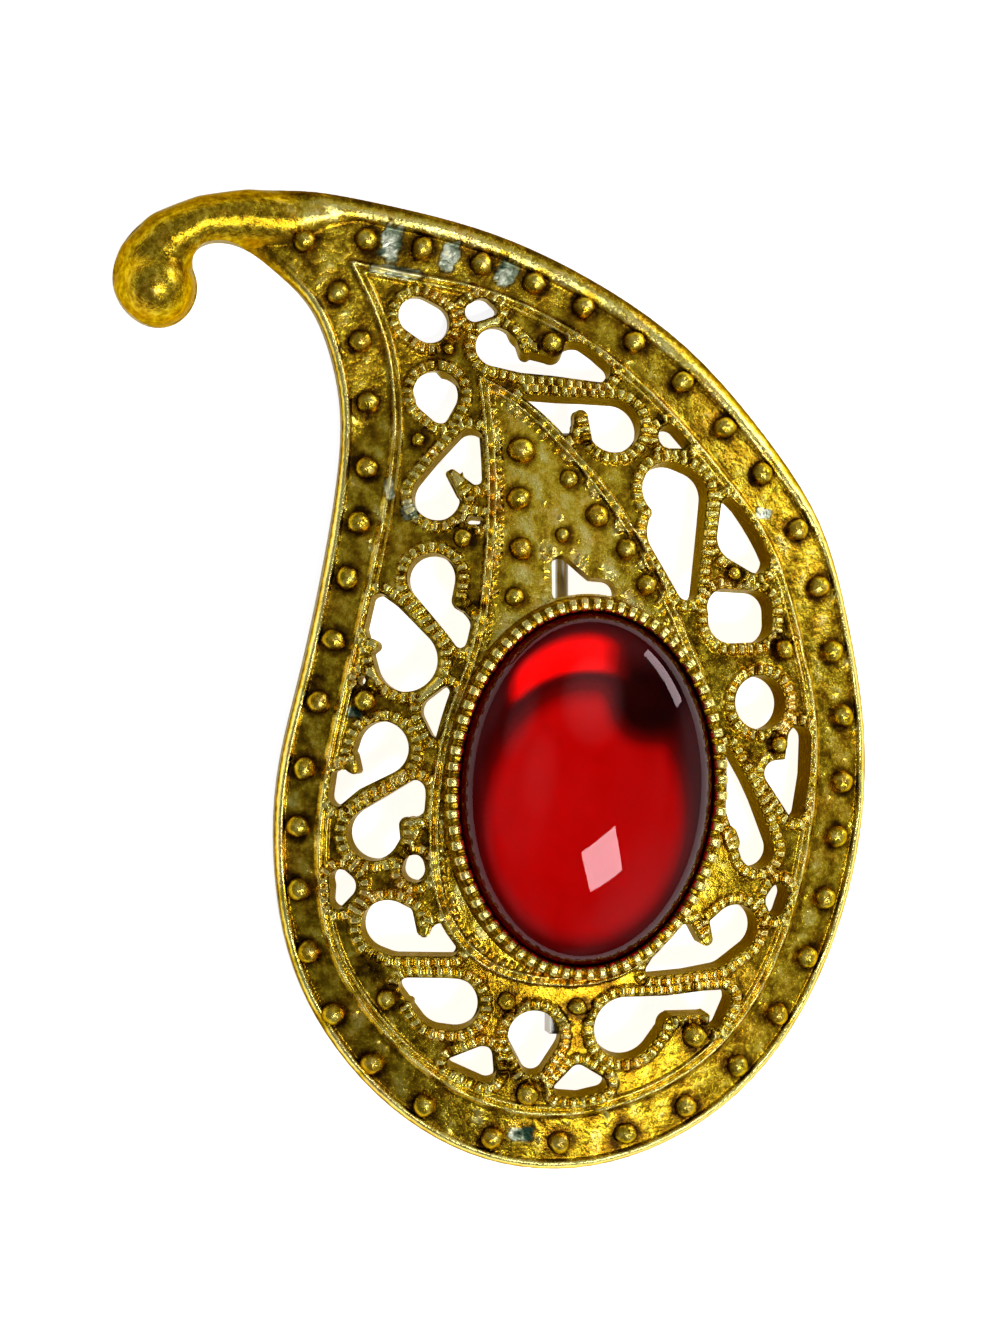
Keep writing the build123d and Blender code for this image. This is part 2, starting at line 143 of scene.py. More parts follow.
# Each opening is a run of circles, every one joined to the next: x, y, radius.
GAPS = (
    ((-7.8, 37.0, 1.9), (-6.5, 36.2, 2.0)),
    ((-1.9, 37.4, 1.0), (-1.2, 37.7, 1.1), (-0.1, 37.5, 0.5)),
    ((0.2, 33.8, 2.05), (2.8, 32.3, 1.2), (6.0, 31.75, 0.95), (8.3, 32.45, 1.95), (10.6, 31.4, 1.2)),
    ((-5.9, 29.0, 2.35), (-5.6, 27.0, 1.1)),
    ((6.95, 25.4, 0.75), (6.0, 27.2, 1.5), (9.0, 27.2, 1.4), (11.9, 25.7, 2.75)),
    ((3.3, 28.25, 0.65), (6.0, 27.2, 1.5)),
    ((17.75, 24.65, 1.2), (19.25, 24.35, 0.9)),
    ((-2.3, 20.8, 1.2), (-2.7, 23.85, 1.45), (-5.2, 21.3, 1.4), (-6.1, 18.5, 2.5)),
    ((-2.85, 16.0, 0.42), (-2.0, 15.95, 0.38)),
    ((17.5, 19.2, 2.85), (18.8, 18.9, 2.65), (17.95, 14.8, 2.95), (19.05, 9.0, 1.05)),
    ((23.8, 17.6, 0.85), (24.85, 14.3, 2.45), (26.6, 12.35, 1.6)),
    ((23.1, 7.2, 1.95), (26.2, 7.0, 2.0), (26.1, 5.8, 2.1), (23.6, 6.0, 2.4)),
    ((-6.75, 10.2, 2.5), (-6.1, 7.6, 1.35), (-4.2, 5.3, 1.4), (-3.95, 3.9, 0.8)),
    ((-9.35, 1.95, 3.25), (-11.4, 5.7, 2.15), (-12.0, 7.6, 1.0)),
    ((26.75, -2.4, 2.75),),
    ((-13.7, -0.15, 0.5),),
    ((-5.55, -1.4, 0.65), (-6.5, -3.2, 1.5), (-6.35, -5.1, 0.8)),
    ((-11.75, -7.0, 2.75), (-14.5, -10.2, 1.15), (-16.05, -10.3, 1.1), (-16.15, -11.9, 0.95)),
    ((-14.5, -10.2, 1.15), (-16.15, -11.9, 0.95)),
    ((-12.6, -15.6, 2.7), (-8.55, -11.35, 1.2), (-8.4, -12.8, 1.1)),
    ((23.05, -7.4, 0.5), (24.15, -11.0, 1.4), (24.8, -13.2, 1.8), (26.4, -17.35, 1.9)),
    ((31.05, -6.1, 1.3), (30.7, -9.6, 1.5), (28.45, -9.6, 1.3), (30.6, -13.3, 0.95)),
    ((30.7, -9.6, 1.5), (30.6, -13.3, 0.95)),
    ((-15.9, -20.3, 1.1), (-15.5, -21.0, 1.35), (-16.1, -22.4, 0.85)),
    ((-8.6, -18.8, 1.15), (-8.6, -19.2, 1.25)),
    ((-11.2, -24.9, 2.65), (-10.3, -25.3, 2.6), (-6.3, -26.9, 1.0), (-5.1, -27.0, 0.9), (-6.0, -25.4, 0.85)),
    ((28.9, -21.95, 1.05), (28.55, -22.6, 1.15), (28.6, -23.4, 0.85)),
    ((24.2, -25.3, 2.4), (22.0, -27.0, 2.3), (18.9, -27.3, 2.5), (15.4, -29.4, 0.65)),
    ((-9.1, -31.05, 0.95), (-5.8, -32.7, 2.6), (-4.6, -32.8, 2.65)),
    ((3.5, -36.0, 2.6), (3.4, -38.9, 1.15)),
    ((12.8, -35.3, 3.2), (17.0, -33.1, 1.05), (21.0, -32.9, 1.25), (22.8, -32.7, 1.1), (22.3, -34.9, 0.7)),
    ((-4.5, -38.8, 0.6), (-1.6, -38.3, 1.25), (-1.25, -39.75, 1.05), (-4.5, -38.8, 0.6)),
    ((8.1, -39.9, 0.9), (6.4, -41.5, 0.75), (8.2, -41.55, 0.85), (10.2, -41.1, 0.85), (8.1, -39.9, 0.9)),
)
# The one opening inside the leaf, a little fuller than the solid's: x, y, radius.
LEAF_GAPS = (
    ((6.1, 11.5, 0.95), (7.3, 9.7, 1.5), (8.6, 8.9, 1.3), (10.4, 8.8, 1.25)),
    ((6.1, 11.5, 0.95), (6.2, 8.7, 1.05), (8.6, 8.9, 1.3)),
)
# Scroll ends that reach into the openings, each from root to tip: x, y, radius.
PRONGS = (
    ((8.75, 23.6, 0.95), (8.55, 26.6, 0.72)),
    ((3.3, 35.0, 1.1), (3.2, 33.7, 0.65)),
    ((5.9, 35.2, 1.4), (5.9, 34.0, 1.25)),
    ((-3.1, 18.9, 0.95), (-4.6, 20.8, 0.4)),
    ((14.2, 16.8, 0.9), (14.8, 16.8, 0.75)),
    ((-3.0, 8.2, 1.1), (-3.6, 7.9, 1.05)),
    ((-13.9, 3.2, 1.1), (-12.8, 3.45, 0.6)),
    ((-15.4, -7.9, 0.9), (-14.6, -9.2, 0.4)),
    ((-8.7, -16.2, 1.1), (-9.1, -14.75, 0.85)),
    ((23.3, -16.6, 1.2), (23.2, -15.9, 1.05)),
    ((28.7, -6.2, 1.0), (28.6, -6.9, 0.95)),
    ((-7.6, -23.2, 1.0), (-7.6, -25.5, 0.5)),
    ((20.1, -23.8, 1.1), (21.1, -26.4, 0.65)),
    ((-10.2, -33.4, 0.9), (-9.1, -32.9, 0.4)),
    ((19.8, -37.0, 2.3), (19.3, -36.2, 1.9)),
    ((17.9, -37.0, 1.4), (17.8, -35.4, 1.2)),
)
# The milled wires of the small leaf inside the leaf, a little longer than the solid's: x, y.
INNER_WIRES = (
    ((4.6, 18.6), (4.3, 14.0), (4.4, 9.0)),
    ((4.6, 18.6), (7.4, 15.0), (9.0, 11.9), (11.6, 10.6)),
)
# The studs of the band, clockwise from the hook: x, y.
BAND_STUDS = (
    (-19.3, 44.4), (-13.0, 44.6), (-7.3, 43.8), (-1.2, 42.3), (4.2, 40.4), (9.3, 38.0), (14.4, 34.4),
    (19.3, 30.3), (23.6, 25.7), (27.5, 21.0), (31.2, 15.3), (33.4, 9.4), (34.8, 2.8), (35.9, -3.8),
    (35.8, -10.6), (35.2, -16.2), (34.0, -22.5), (32.1, -28.5), (29.0, -34.3), (24.8, -39.5),
    (19.4, -43.5), (13.2, -46.2), (6.4, -47.0), (-0.4, -46.5), (-7.3, -43.2), (-12.5, -38.9),
    (-16.4, -33.9), (-18.9, -27.6), (-19.9, -21.3), (-20.0, -14.9), (-19.4, -9.0), (-18.0, -2.3),
    (-16.5, 3.9), (-15.1, 10.2), (-13.9, 15.8), (-13.0, 21.4), (-12.8, 28.1), (-13.6, 34.3),
    (-15.9, 39.2),
)
# Single studs, on the leaf first and then among the openings: x, y, size beside a band stud.
STUDS = (
    (2.4, 23.1, 1.15), (2.0, 18.2, 1.0), (7.1, 20.2, 0.8), (9.9, 16.5, 1.0), (6.3, 14.5, 0.65),
    (2.1, 13.1, 0.95), (12.8, 13.1, 0.9), (14.8, 9.5, 0.9), (1.4, 8.2, 0.85),
    (-3.7, 14.2, 0.8), (-4.6, 33.6, 0.5), (-7.9, 24.2, 0.6), (5.9, 34.2, 0.95),
    (24.1, 10.7, 0.6), (29.4, 3.0, 0.85), (28.7, -6.7, 0.75), (-13.5, -2.2, 0.95),
    (-11.2, -32.3, 0.9), (0.7, -32.4, 0.8), (7.8, -33.0, 0.8), (3.0, -42.0, 1.0), (20.0, -36.2, 1.1),
)
# The hook's round back, which starts further along the band than the solid's: x, y, half width, share of the
# hook's height.
HOOK = (
    (-13.0, 47.3, 0.9, 0.52), (-17.0, 47.2, 1.7, 0.6), (-20.8, 46.6, 2.6, 0.72),
    (-25.0, 46.8, 2.75, 0.88), (-29.3, 46.4, 2.5, 1.0), (-33.0, 44.4, 2.9, 1.0), (-34.4, 42.0, 3.5, 1.0),
)
# Its knob: x, y, radius.
KNOB = (-34.4, 39.7, 4.05)
# Places where the gilding has worn to grey metal: x, y, half length, half width, turn in degrees.
WORN = (
    (-10.5, 44.3, 2.1, 1.1, 80), (-4.5, 43.0, 1.7, 1.0, 70), (1.3, 41.3, 1.4, 1.1, 60),
    (-10.0, 41.4, 2.8, 0.6, -8), (-10.9, 19.3, 1.2, 0.5, 95), (27.5, 16.9, 0.9, 0.6, 0),
    (-14.6, -3.3, 0.8, 0.6, 0), (2.5, -46.2, 1.3, 0.8, 0), (-8.9, 17.0, 0.8, 1.1, 10),
)
# Places that stay dark with old lacquer: x, y, radius.
DARK = (
    (-12.4, 43.4, 1.2), (-8.6, 43.7, 1.3), (-3.3, 7.3, 1.2), (-9.8, -17.5, 1.0), (-13.0, -29.0, 1.5),
    (0.7, -39.5, 1.2), (3.2, -46.0, 1.0), (1.0, 42.9, 0.8), (9.1, 24.0, 0.9), (-18.4, -0.4, 1.0),
)

DOME_RADIUS = ((DOME_HALF_WIDE * UNIT) ** 2 + DOME_RISE**2) / (2 * DOME_RISE)
DOME_STRETCH = DOME_HALF_LONG / DOME_HALF_WIDE


def smooth_line(rows, closed):
    """Points round the line through the rows, in mm, with a corner at the first row unless closed."""
    p = np.array(rows, dtype=float)[:, :2] * UNIT
    p = np.vstack([p, p[:1]])
    h = np.hypot(*np.diff(p, axis=0).T)
    n = len(p)
    a = np.zeros((n, n))
    b = np.zeros((n, 2))
    for i in range(1, n - 1):
        a[i, i - 1], a[i, i], a[i, i + 1] = h[i], 2 * (h[i - 1] + h[i]), h[i - 1]
        b[i] = 3 * (h[i] * (p[i] - p[i - 1]) / h[i - 1] + h[i - 1] * (p[i + 1] - p[i]) / h[i])
    if closed:
        a[0, n - 2], a[0, 0], a[0, 1] = h[0], 2 * (h[-1] + h[0]), h[-1]
        b[0] = 3 * (h[0] * (p[0] - p[-2]) / h[-1] + h[-1] * (p[1] - p[0]) / h[0])
        a[-1, 0], a[-1, -1] = 1, -1
    else:
        a[0, 0], a[0, 1], b[0] = 2, 1, 3 * (p[1] - p[0]) / h[0]
        a[-1, -1], a[-1, -2], b[-1] = 2, 1, 3 * (p[-1] - p[-2]) / h[-1]
    m = np.linalg.solve(a, b)
    t = np.linspace(0, 1, LINE_STEPS, endpoint=False)[None, :, None]
    p0, p1, m0, m1, hh = p[:-1, None], p[1:, None], m[:-1, None], m[1:, None], h[:, None, None]
    q = (
        p0 * (2 * t**3 - 3 * t**2 + 1)
        + p1 * (3 * t**2 - 2 * t**3)
        + hh * m0 * (t**3 - 2 * t**2 + t)
        + hh * m1 * (t**3 - t**2)
    )
    return q.reshape(-1, 2)


edge_line = smooth_line(EDGE, True)
MIDDLE = (edge_line.min(axis=0) + edge_line.max(axis=0)) / 2
edge_line = edge_line - MIDDLE
rail_line = smooth_line(RAIL, False) - MIDDLE
leaf_line = smooth_line(LEAF, False) - MIDDLE


def place(x, y):
    """A place in hundredths of the length as millimetres from the middle of the brooch."""
    return np.array([x * UNIT - MIDDLE[0], y * UNIT - MIDDLE[1]])


DOME_X, DOME_Y = place(*DOME_AT)
STONE_X, STONE_Y = place(*STONE_AT)
cos_t, sin_t = math.cos(STONE_TURN), math.sin(STONE_TURN)

# The grid that carries every distance
low = edge_line.min(axis=0) - 4 * STEP
high = edge_line.max(axis=0) + 4 * STEP
xs = np.arange(low[0], high[0], STEP)
ys = np.arange(low[1], high[1], STEP)
X, Y = (axis.astype(np.float32) for axis in np.meshgrid(xs, ys))
FULL_X, FULL_Y = X.astype(float), Y.astype(float)


def line_distance(line):
    """Signed distance to a closed line, positive inside, and the length along it at the nearest point."""
    best = np.full(X.shape, 1e9, np.float32)
    along = np.zeros(X.shape, np.float32)
    inside = np.zeros(X.shape, bool)
    done = 0.0
    for a, b in zip(line, np.roll(line, -1, axis=0)):
        d = b - a
        span = float(np.hypot(*d))
        if span < 1e-9:
            continue
        u = np.clip(((X - a[0]) * d[0] + (Y - a[1]) * d[1]) / span**2, 0, 1)
        away = (X - a[0] - u * d[0]) ** 2 + (Y - a[1] - u * d[1]) ** 2
        nearer = away < best
        best = np.where(nearer, away, best)
        along = np.where(nearer, done + u * span, along)
        done += span
        if a[1] != b[1]:
            crossing = ((a[1] > Y) != (b[1] > Y)) & (X < a[0] + (Y - a[1]) * d[0] / d[1])
            inside ^= crossing
    return np.where(inside, 1, -1) * np.sqrt(best), along


def link_distance(first, second):
    """Distance outside two circles and the lines that touch both; negative inside."""
    (x1, y1), (x2, y2) = place(first[0], first[1]), place(second[0], second[1])
    r1, r2 = first[2] * UNIT, second[2] * UNIT
    apart = math.hypot(x2 - x1, y2 - y1)
    ends = np.minimum(np.hypot(X - x1, Y - y1) - r1, np.hypot(X - x2, Y - y2) - r2)
    if apart <= abs(r1 - r2) + 0.001:
        return ends
    ux, uy = (x2 - x1) / apart, (y2 - y1) / apart
    along = (X - x1) * ux + (Y - y1) * uy
    across = np.abs((X - x1) * uy - (Y - y1) * ux)
    lean = (r1 - r2) / apart
    rise = math.sqrt(1 - lean**2)
    flank = across * rise + along * lean - r1
    foot = along * rise - across * lean
    return np.where((foot > 0) & (foot < apart * rise), flank, ends)


def chain_distance(rows):
    """Distance outside all the runs of circles; negative inside one of them."""
    best = np.full(X.shape, 1e9, np.float32)
    for chain in rows:
        if len(chain) == 1:
            best = np.minimum(best, link_distance(chain[0], chain[0]))
        for first, second in zip(chain, chain[1:]):
            best = np.minimum(best, link_distance(first, second))
    return best


def beside(p, q):
    """Each grid point's share of the way from p to q, its distance off that line, and the line's length."""
    d = q - p
    span = float(np.hypot(*d))
    u = np.clip(((X - p[0]) * d[0] + (Y - p[1]) * d[1]) / span**2, 0, 1)
    return u, np.hypot(X - p[0] - u * d[0], Y - p[1] - u * d[1]), span


def bell(value):
    """A smooth bump, 1 at 0 and almost nothing past 2."""
    return np.exp(-np.square(value))


def smooth_step(value, low_end, high_end):
    """0 below the low end and 1 above the high end, with a smooth rise between them."""
    t = np.clip((value - low_end) / (high_end - low_end), 0, 1)
    return t * t * (3 - 2 * t)


def smooth_max(a, b, reach):
    """The larger of the two, blended where they are closer than the reach."""
    h = np.clip(0.5 + 0.5 * (a - b) / reach, 0, 1)
    return b + (a - b) * h + reach * h * (1 - h)


def lumps(x, y, size, seed):
    """Smooth irregular waves of about one height, from a few plane waves."""
    rng = np.random.default_rng(seed)
    total = np.zeros_like(x)
    for _ in range(9):
        angle = rng.uniform(0, 2 * math.pi)
        wave = 2 * math.pi / (size * rng.uniform(0.7, 1.6))
        total = total + np.sin(wave * (x * math.cos(angle) + y * math.sin(angle)) + rng.uniform(0, 6.3))
    return total / 3.0


def stone_axes(x, y):
    """A place by the stone's short and long axes, from its middle."""
    return (
        (x - STONE_X) * cos_t + (y - STONE_Y) * sin_t,
        (y - STONE_Y) * cos_t - (x - STONE_X) * sin_t,
    )


def on_stone(px, py, z_at):
    """Points given by the stone's short and long axes, at one height or a height each."""
    return np.column_stack((
        STONE_X + px * cos_t - py * sin_t,
        STONE_Y + px * sin_t + py * cos_t,
        np.full(len(px), z_at),
    ))


def oval_distance(x, y):
    """Roughly the distance outside the stone's oval."""
    u, v = stone_axes(x, y)
    a, b = STONE_WIDE / 2, STONE_LONG / 2
    k1 = np.hypot(u / a, v / b)
    k2 = np.hypot(u / a**2, v / b**2)
    return k1 * (k1 - 1) / np.maximum(k2, 1e-6)


def dome_height(x, y, sink=0.0):
    """Height of the dome, or of the hollow that lies the given depth under it."""
    off = (x - DOME_X) ** 2 + ((y - DOME_Y) / DOME_STRETCH) ** 2
    return np.sqrt(np.maximum((DOME_RADIUS - sink) ** 2 - off, 0.0)) + CROWN - DOME_RADIUS


edge_d, _ = line_distance(edge_line)
rail_d, _ = line_distance(rail_line)
leaf_d, leaf_s = line_distance(leaf_line)
gap_d = chain_distance(GAPS)
prong_d = chain_distance(PRONGS)
leaf_gap_d = chain_distance(LEAF_GAPS)
oval_d = oval_distance(X, Y)
collar_out = STONE_PLAY + COLLAR_WALL

open_d = np.maximum(gap_d, -prong_d)
open_d = np.maximum(open_d, leaf_d + 0.08)
open_d = np.minimum(open_d, leaf_gap_d)
open_d = np.maximum(open_d, collar_out + 0.3 - oval_d)
open_d = np.maximum(open_d, RAIL_WIDTH / 2 + 0.08 - rail_d)
metal_d = np.minimum(edge_d, open_d)

base = smooth_max(dome_height(X, Y), np.full_like(X, PLATE), 0.25)
noise = lumps(X, Y, 2.2, 3)
fine = lumps(X, Y, 0.8, 5)

# Height of the front: the plate or dome, then the band, the rail, the wires and the leaf
in_field = smooth_step(rail_d, -0.05, 0.25)
in_leaf = smooth_step(leaf_d, -0.05, 0.2)


def closest_run(level_field, level, reach, pitch):
    """Beads along a line of equal distance: 1 on a bead, 0 between two, and a chance number for each bead."""
    rows = []
    loops = contour_loops(level_field - level)
    for number, loop in enumerate(loops):
        step = np.hypot(*np.diff(np.vstack([loop, loop[:1]]), axis=0).T)
        s = np.concatenate([[0.0], np.cumsum(step)])
        total = s[-1]
        if total < 3 * pitch:
            continue
        count = max(round(total / pitch), 3)
        for point, run in zip(loop, s[:-1]):
            turn = run / total * count
            chance = math.sin(12.9898 * (round(turn) % count + 57 * number)) * 43758.5
            rows.append((point[0], point[1], turn, chance - math.floor(chance)))
    rows = np.array(rows)
    tree = KDTree(len(rows))
    for k, row in enumerate(rows):
        tree.insert((row[0], row[1], 0.0), k)
    tree.balance()
    near = (level_field > level - reach) & (level_field < level + reach) & (metal_d > -2 * STEP)
    beads, chances = np.zeros_like(X), np.zeros_like(X)
    for j, i in zip(*np.nonzero(near)):
        k = tree.find((X[j, i], Y[j, i], 0.0))[1]
        beads[j, i] = 0.5 + 0.5 * math.cos(2 * math.pi * rows[k][2])
        chances[j, i] = rows[k][3]
    return beads, chances


def contour_cells(field, grid_x, grid_y):
    """Marching squares: vertices on the grid and the line, the faces inside it, and the line's pieces."""
    ny, nx = field.shape
    inside = field > 0
    own = np.full(field.shape, -1, np.int64)
    j, i = np.nonzero(inside)
    own[j, i] = np.arange(len(j))
    count = len(j)
    vx = [grid_x[j, i]]
    vy = [grid_y[j, i]]
    sides = []
    for up, on in ((0, 1), (1, 0)):
        j, i = np.nonzero(inside[: ny - up, : nx - on] != inside[up:, on:])
        t = np.clip(field[j, i] / (field[j, i] - field[j + up, i + on]), 0.02, 0.98)
        vx.append(grid_x[j, i] * (1 - t) + grid_x[j + up, i + on] * t)
        vy.append(grid_y[j, i] * (1 - t) + grid_y[j + up, i + on] * t)
        cut = np.full(field.shape, -1, np.int64)
        cut[j, i] = count + np.arange(len(j))
        sides.append(cut)
        count += len(j)
    flat, tall = sides
    corner = (own[:-1, :-1], own[:-1, 1:], own[1:, 1:], own[1:, :-1])
    side = (flat[:-1, :], tall[:, 1:], flat[1:, :], tall[:, :-1])
    side = tuple(s[: ny - 1, : nx - 1] for s in side)
    code = sum((numbers >= 0).astype(int) << k for k, numbers in enumerate(corner))
    faces = []
    pieces = []
    for value in range(1, 16):
        at = code == value
        if not at.any():
            continue
        bits = [(value >> k) & 1 for k in range(4)]
        if value in (5, 10):
            # two corners that touch only across the cell stay apart
            for k in range(4):
                if bits[k]:
                    ring = (corner[k][at], side[k][at], side[k - 1][at])
                    faces.append(np.stack(ring, axis=1))
                    pieces.append(np.stack((ring[1], ring[2]), axis=1))
            continue
        ring = []
        walk = []
        for k in range(4):
            if bits[k]:
                ring.append(corner[k][at])
                walk.append("c")
            if bits[k] != bits[(k + 1) % 4]:
                ring.append(side[k][at])
                walk.append("e")
        faces.append(np.stack(ring, axis=1))
        for k, kind in enumerate(walk):
            if kind == "e" and walk[(k + 1) % len(walk)] == "e":
                pieces.append(np.stack((ring[k], ring[(k + 1) % len(walk)]), axis=1))
                break
    points = np.stack((np.concatenate(vx), np.concatenate(vy)), axis=1)
    return points, faces, np.concatenate(pieces)


def contour_loops(field):
    """The closed lines along which the field is 0."""
    points, _, pieces = contour_cells(field, FULL_X, FULL_Y)
    following = {int(a): int(b) for a, b in pieces}
    loops = []
    while following:
        start = next(iter(following))
        loop = [start]
        here = following.pop(start)
        while here != start and here in following:
            loop.append(here)
            here = following.pop(here)
        if len(loop) > 5:
            loops.append(points[loop])
    return loops


def sample(field, points):
    """A grid field read at points, straight between its nodes."""
    u = np.clip((points[:, 0] - xs[0]) / STEP, 0, len(xs) - 1.001)
    v = np.clip((points[:, 1] - ys[0]) / STEP, 0, len(ys) - 1.001)
    i, j = u.astype(int), v.astype(int)
    u, v = u - i, v - j
    return (
        field[j, i] * (1 - u) * (1 - v)
        + field[j, i + 1] * u * (1 - v)
        + field[j + 1, i] * (1 - u) * v
        + field[j + 1, i + 1] * u * v
    )


wire_beads, bead_chance = closest_run(open_d, WIRE_LINE, WIRE_REACH, WIRE_PITCH)

# The rim: a thin lumpy wire, which is a broad round flank along the top
flank = smooth_step(-np.gradient(edge_d, STEP, axis=0), 0.25, 0.8)
rim_wide = RIM_WIDE + RIM_FLANK * flank
rim_wave = 0.88 + 0.12 * lumps(X, Y, 4.0, 11)
rim_share = np.clip(edge_d / rim_wide, 0, 2.2)
rim_crest = RIM_HEIGHT * rim_wave * np.sqrt(np.clip(1 - (1 - rim_share) ** 2, 0, 1)) * (rim_share < 2)

# The band's floor, a bowl round each stud and the panels left between the bowls
band_share = np.clip((edge_d - rim_wide) / np.maximum(edge_d - rim_wide - rail_d, 0.5), 0, 1)
band_floor = -BAND_DEPTH * np.clip(4 * band_share * (1 - band_share), 0, 1) ** 0.6
stud_rows = [(*place(x, y), STUD_RADIUS) for x, y in BAND_STUDS]
stud_rows += [(*place(x, y), STUD_RADIUS * size) for x, y, size in STUDS]
bowls = np.zeros_like(X)
lips = np.zeros_like(X)
for sx, sy, radius in stud_rows:
    far = np.hypot(X - sx, Y - sy)
    start = BOWL_START * radius
    bowls = np.minimum(bowls, -BOWL_DEPTH * (1 - smooth_step(far, start, start + BOWL_WIDE)))
    lips = np.maximum(lips, LIP_HEIGHT * bell((far - start - LIP_AT) / LIP_WIDE))

# The rail's two ridges, and the milled wires round the openings
rail_crest = RAIL_HEIGHT * (0.85 + 0.15 * noise) * bell(rail_d / 0.2)
rail_crest = np.maximum(rail_crest, RAIL_SECOND * bell((rail_d - 0.46) / 0.15))
bars = smooth_step(wire_beads, 0.15, 0.6)
wire_hump = smooth_step(open_d, -0.05, 0.2) * (1 - smooth_step(open_d, 0.7, 1.0))
wire = WIRE_HEIGHT * wire_hump * (0.2 + (0.45 + 0.35 * bead_chance) * bars + 0.06 * noise)
lip = -0.1 * smooth_step(-open_d, -0.15, 0.0)
field_floor = -0.2 + 0.09 * fine

# The leaf: its ridges and teeth, its crumpled basin and the wires of the small leaf inside it
leaf_teeth = 0.5 + 0.5 * np.cos(2 * math.pi * leaf_s / LEAF_PITCH)
ridges = [height * bell((leaf_d - at) / wide) for at, wide, height in LEAF_RIDGES]
leaf_edge = np.maximum(ridges[0], ridges[1])
leaf_edge = np.maximum(leaf_edge, ridges[2] * smooth_step(leaf_teeth, 0.2, 0.7))
crumple = CRUMPLE_DEPTH * np.abs(lumps(X, Y, 1.5, 23))
leaf_inside = smooth_step(leaf_d, 0.9, 2.0)
leaf_basin = -LEAF_DEPTH * leaf_inside + 0.07 * fine + 0.07 * noise - 1.3 * crumple * leaf_inside
inner_wires = np.zeros_like(X)
for wire_rows in INNER_WIRES:
    done = 0.0
    for first, second in zip(wire_rows, wire_rows[1:]):
        u, off, span = beside(place(*first), place(*second))
        beads = 0.5 + 0.5 * np.cos(2 * math.pi * (done + u * span) / INNER_PITCH)
        bead_tall = INNER_HEIGHT * (0.35 + 0.65 * smooth_step(beads, 0.15, 0.6))
        inner_wires = np.maximum(inner_wires, bead_tall * bell(off / 0.3))
        done += span

# All of it together
outside_leaf = wire + lip + field_floor * (1 - wire_hump)
inside_leaf = leaf_edge + leaf_basin + np.maximum(inner_wires, wire * (leaf_gap_d < 2.2))
field = outside_leaf * (1 - in_leaf) + inside_leaf * in_leaf
band = band_floor + 0.09 * noise + 0.08 * fine - 0.5 * crumple
relief = band * (1 - in_field) + field * in_field
near_rail = np.clip(2.5 * bell(rail_d / 0.3), 0, 1)
relief = relief + (bowls + lips) * (1 - near_rail)
relief = np.maximum(relief, rail_crest - 0.02)
relief = np.where(rim_share < 1, rim_crest - 0.12 * (1 - rim_share), np.maximum(relief, rim_crest))

# The hook's round back and its knob, which grow out of the band's end
hook_z = np.zeros_like(X)
for row, after in zip(HOOK, HOOK[1:]):
    u, off, _ = beside(place(row[0], row[1]), place(after[0], after[1]))
    half = (row[2] + (after[2] - row[2]) * u) * UNIT
    tall = (row[3] + (after[3] - row[3]) * u) * HOOK_HEIGHT
    round_back = tall * np.sqrt(np.clip(1 - (off / (half * 1.12)) ** 2, 0, 1))
    hook_z = np.maximum(hook_z, round_back)
kx, ky = place(KNOB[0], KNOB[1])
knob_far = np.hypot(X - kx, Y - ky) / (KNOB[2] * UNIT * 1.03)
hook_z = smooth_max(hook_z, KNOB_HEIGHT * np.sqrt(np.clip(1 - knob_far**2, 0, 1)), 0.5)
hook_end = smooth_step(-X, -place(-17.0, 0)[0], -place(-24.0, 0)[0]) * (Y > place(0, 30)[1])
plain = base + relief
bare_arm = 1.25 * np.sqrt(np.clip(edge_d / 0.9, 0, 1))
top = smooth_max(plain * (1 - hook_end) + bare_arm * hook_end, hook_z, 0.3)
top = np.where(Y > place(0, 25)[1], top, plain)
top = np.where(oval_d < collar_out, np.minimum(top, SEAT - 0.3), top)
under = np.where(edge_d < SKIRT_WALL, 0.0, np.maximum(dome_height(X, Y, PLATE), 0.0))

# How proud each place stands of what lies round it, for darkening in the hollows and a painted highlight on
# the crests; lacquer spots and wear are added after
blurred = top.copy()
for _ in range(6):
    for axis in (0, 1):
        blurred = (np.roll(blurred, 3, axis) + blurred + np.roll(blurred, -3, axis)) / 3
painted_light_and_stains = np.clip(0.5 + 1.25 * (top - blurred) + 0.35 * (top - base) * (1 - hook_end), 0, 1)
# Darker in the bowls round the studs, with a little random unevenness beyond the rim
painted_light_and_stains = painted_light_and_stains + 0.85 * bowls * (1 - near_rail) + 0.12 * noise * (rim_share > 1)
# Painted shade along the rim's upper flank and at the very edge
painted_light_and_stains = painted_light_and_stains - 0.3 * bell((edge_d - 0.35 * rim_wide) / 0.22) * flank - 0.45 * bell(edge_d / 0.12)
# The hook gets its own tone, painted lighter the higher it stands: painted light
painted_light_and_stains = np.clip(painted_light_and_stains, 0, 1) * (1 - hook_end) + np.clip(0.36 + 0.07 * (top - 2.0), 0, 0.7) * hook_end
# Painted light over the leaf, and more painted shade on the rim's upper flank
painted_light_and_stains = np.clip(painted_light_and_stains + 0.12 * in_leaf - 0.16 * flank * (rim_share < 1), 0, 1)
worn = np.zeros_like(X)
for x, y, long, wide, turn in WORN:
    wx, wy = place(x, y)
    c, s = math.cos(math.radians(turn)), math.sin(math.radians(turn))
    u = ((X - wx) * c + (Y - wy) * s) / (long * UNIT)
    v = ((Y - wy) * c - (X - wx) * s) / (wide * UNIT)
    worn = np.maximum(worn, 1 - smooth_step(np.sqrt(np.sqrt(u**4 + v**4)) + 0.12 * fine, 0.75, 1.15))
painted_light_and_stains = np.clip(painted_light_and_stains + 0.12 * worn, 0, 1) * (1 - 0.8 * bell((worn - 0.4) / 0.25))
for x, y, radius in DARK:
    dx, dy = place(x, y)
    spot = 1 - smooth_step(np.hypot(X - dx, Y - dy) + 0.2 * fine, 0.5 * radius * UNIT, 1.3 * radius * UNIT)
    painted_light_and_stains = painted_light_and_stains * (1 - 0.75 * spot)


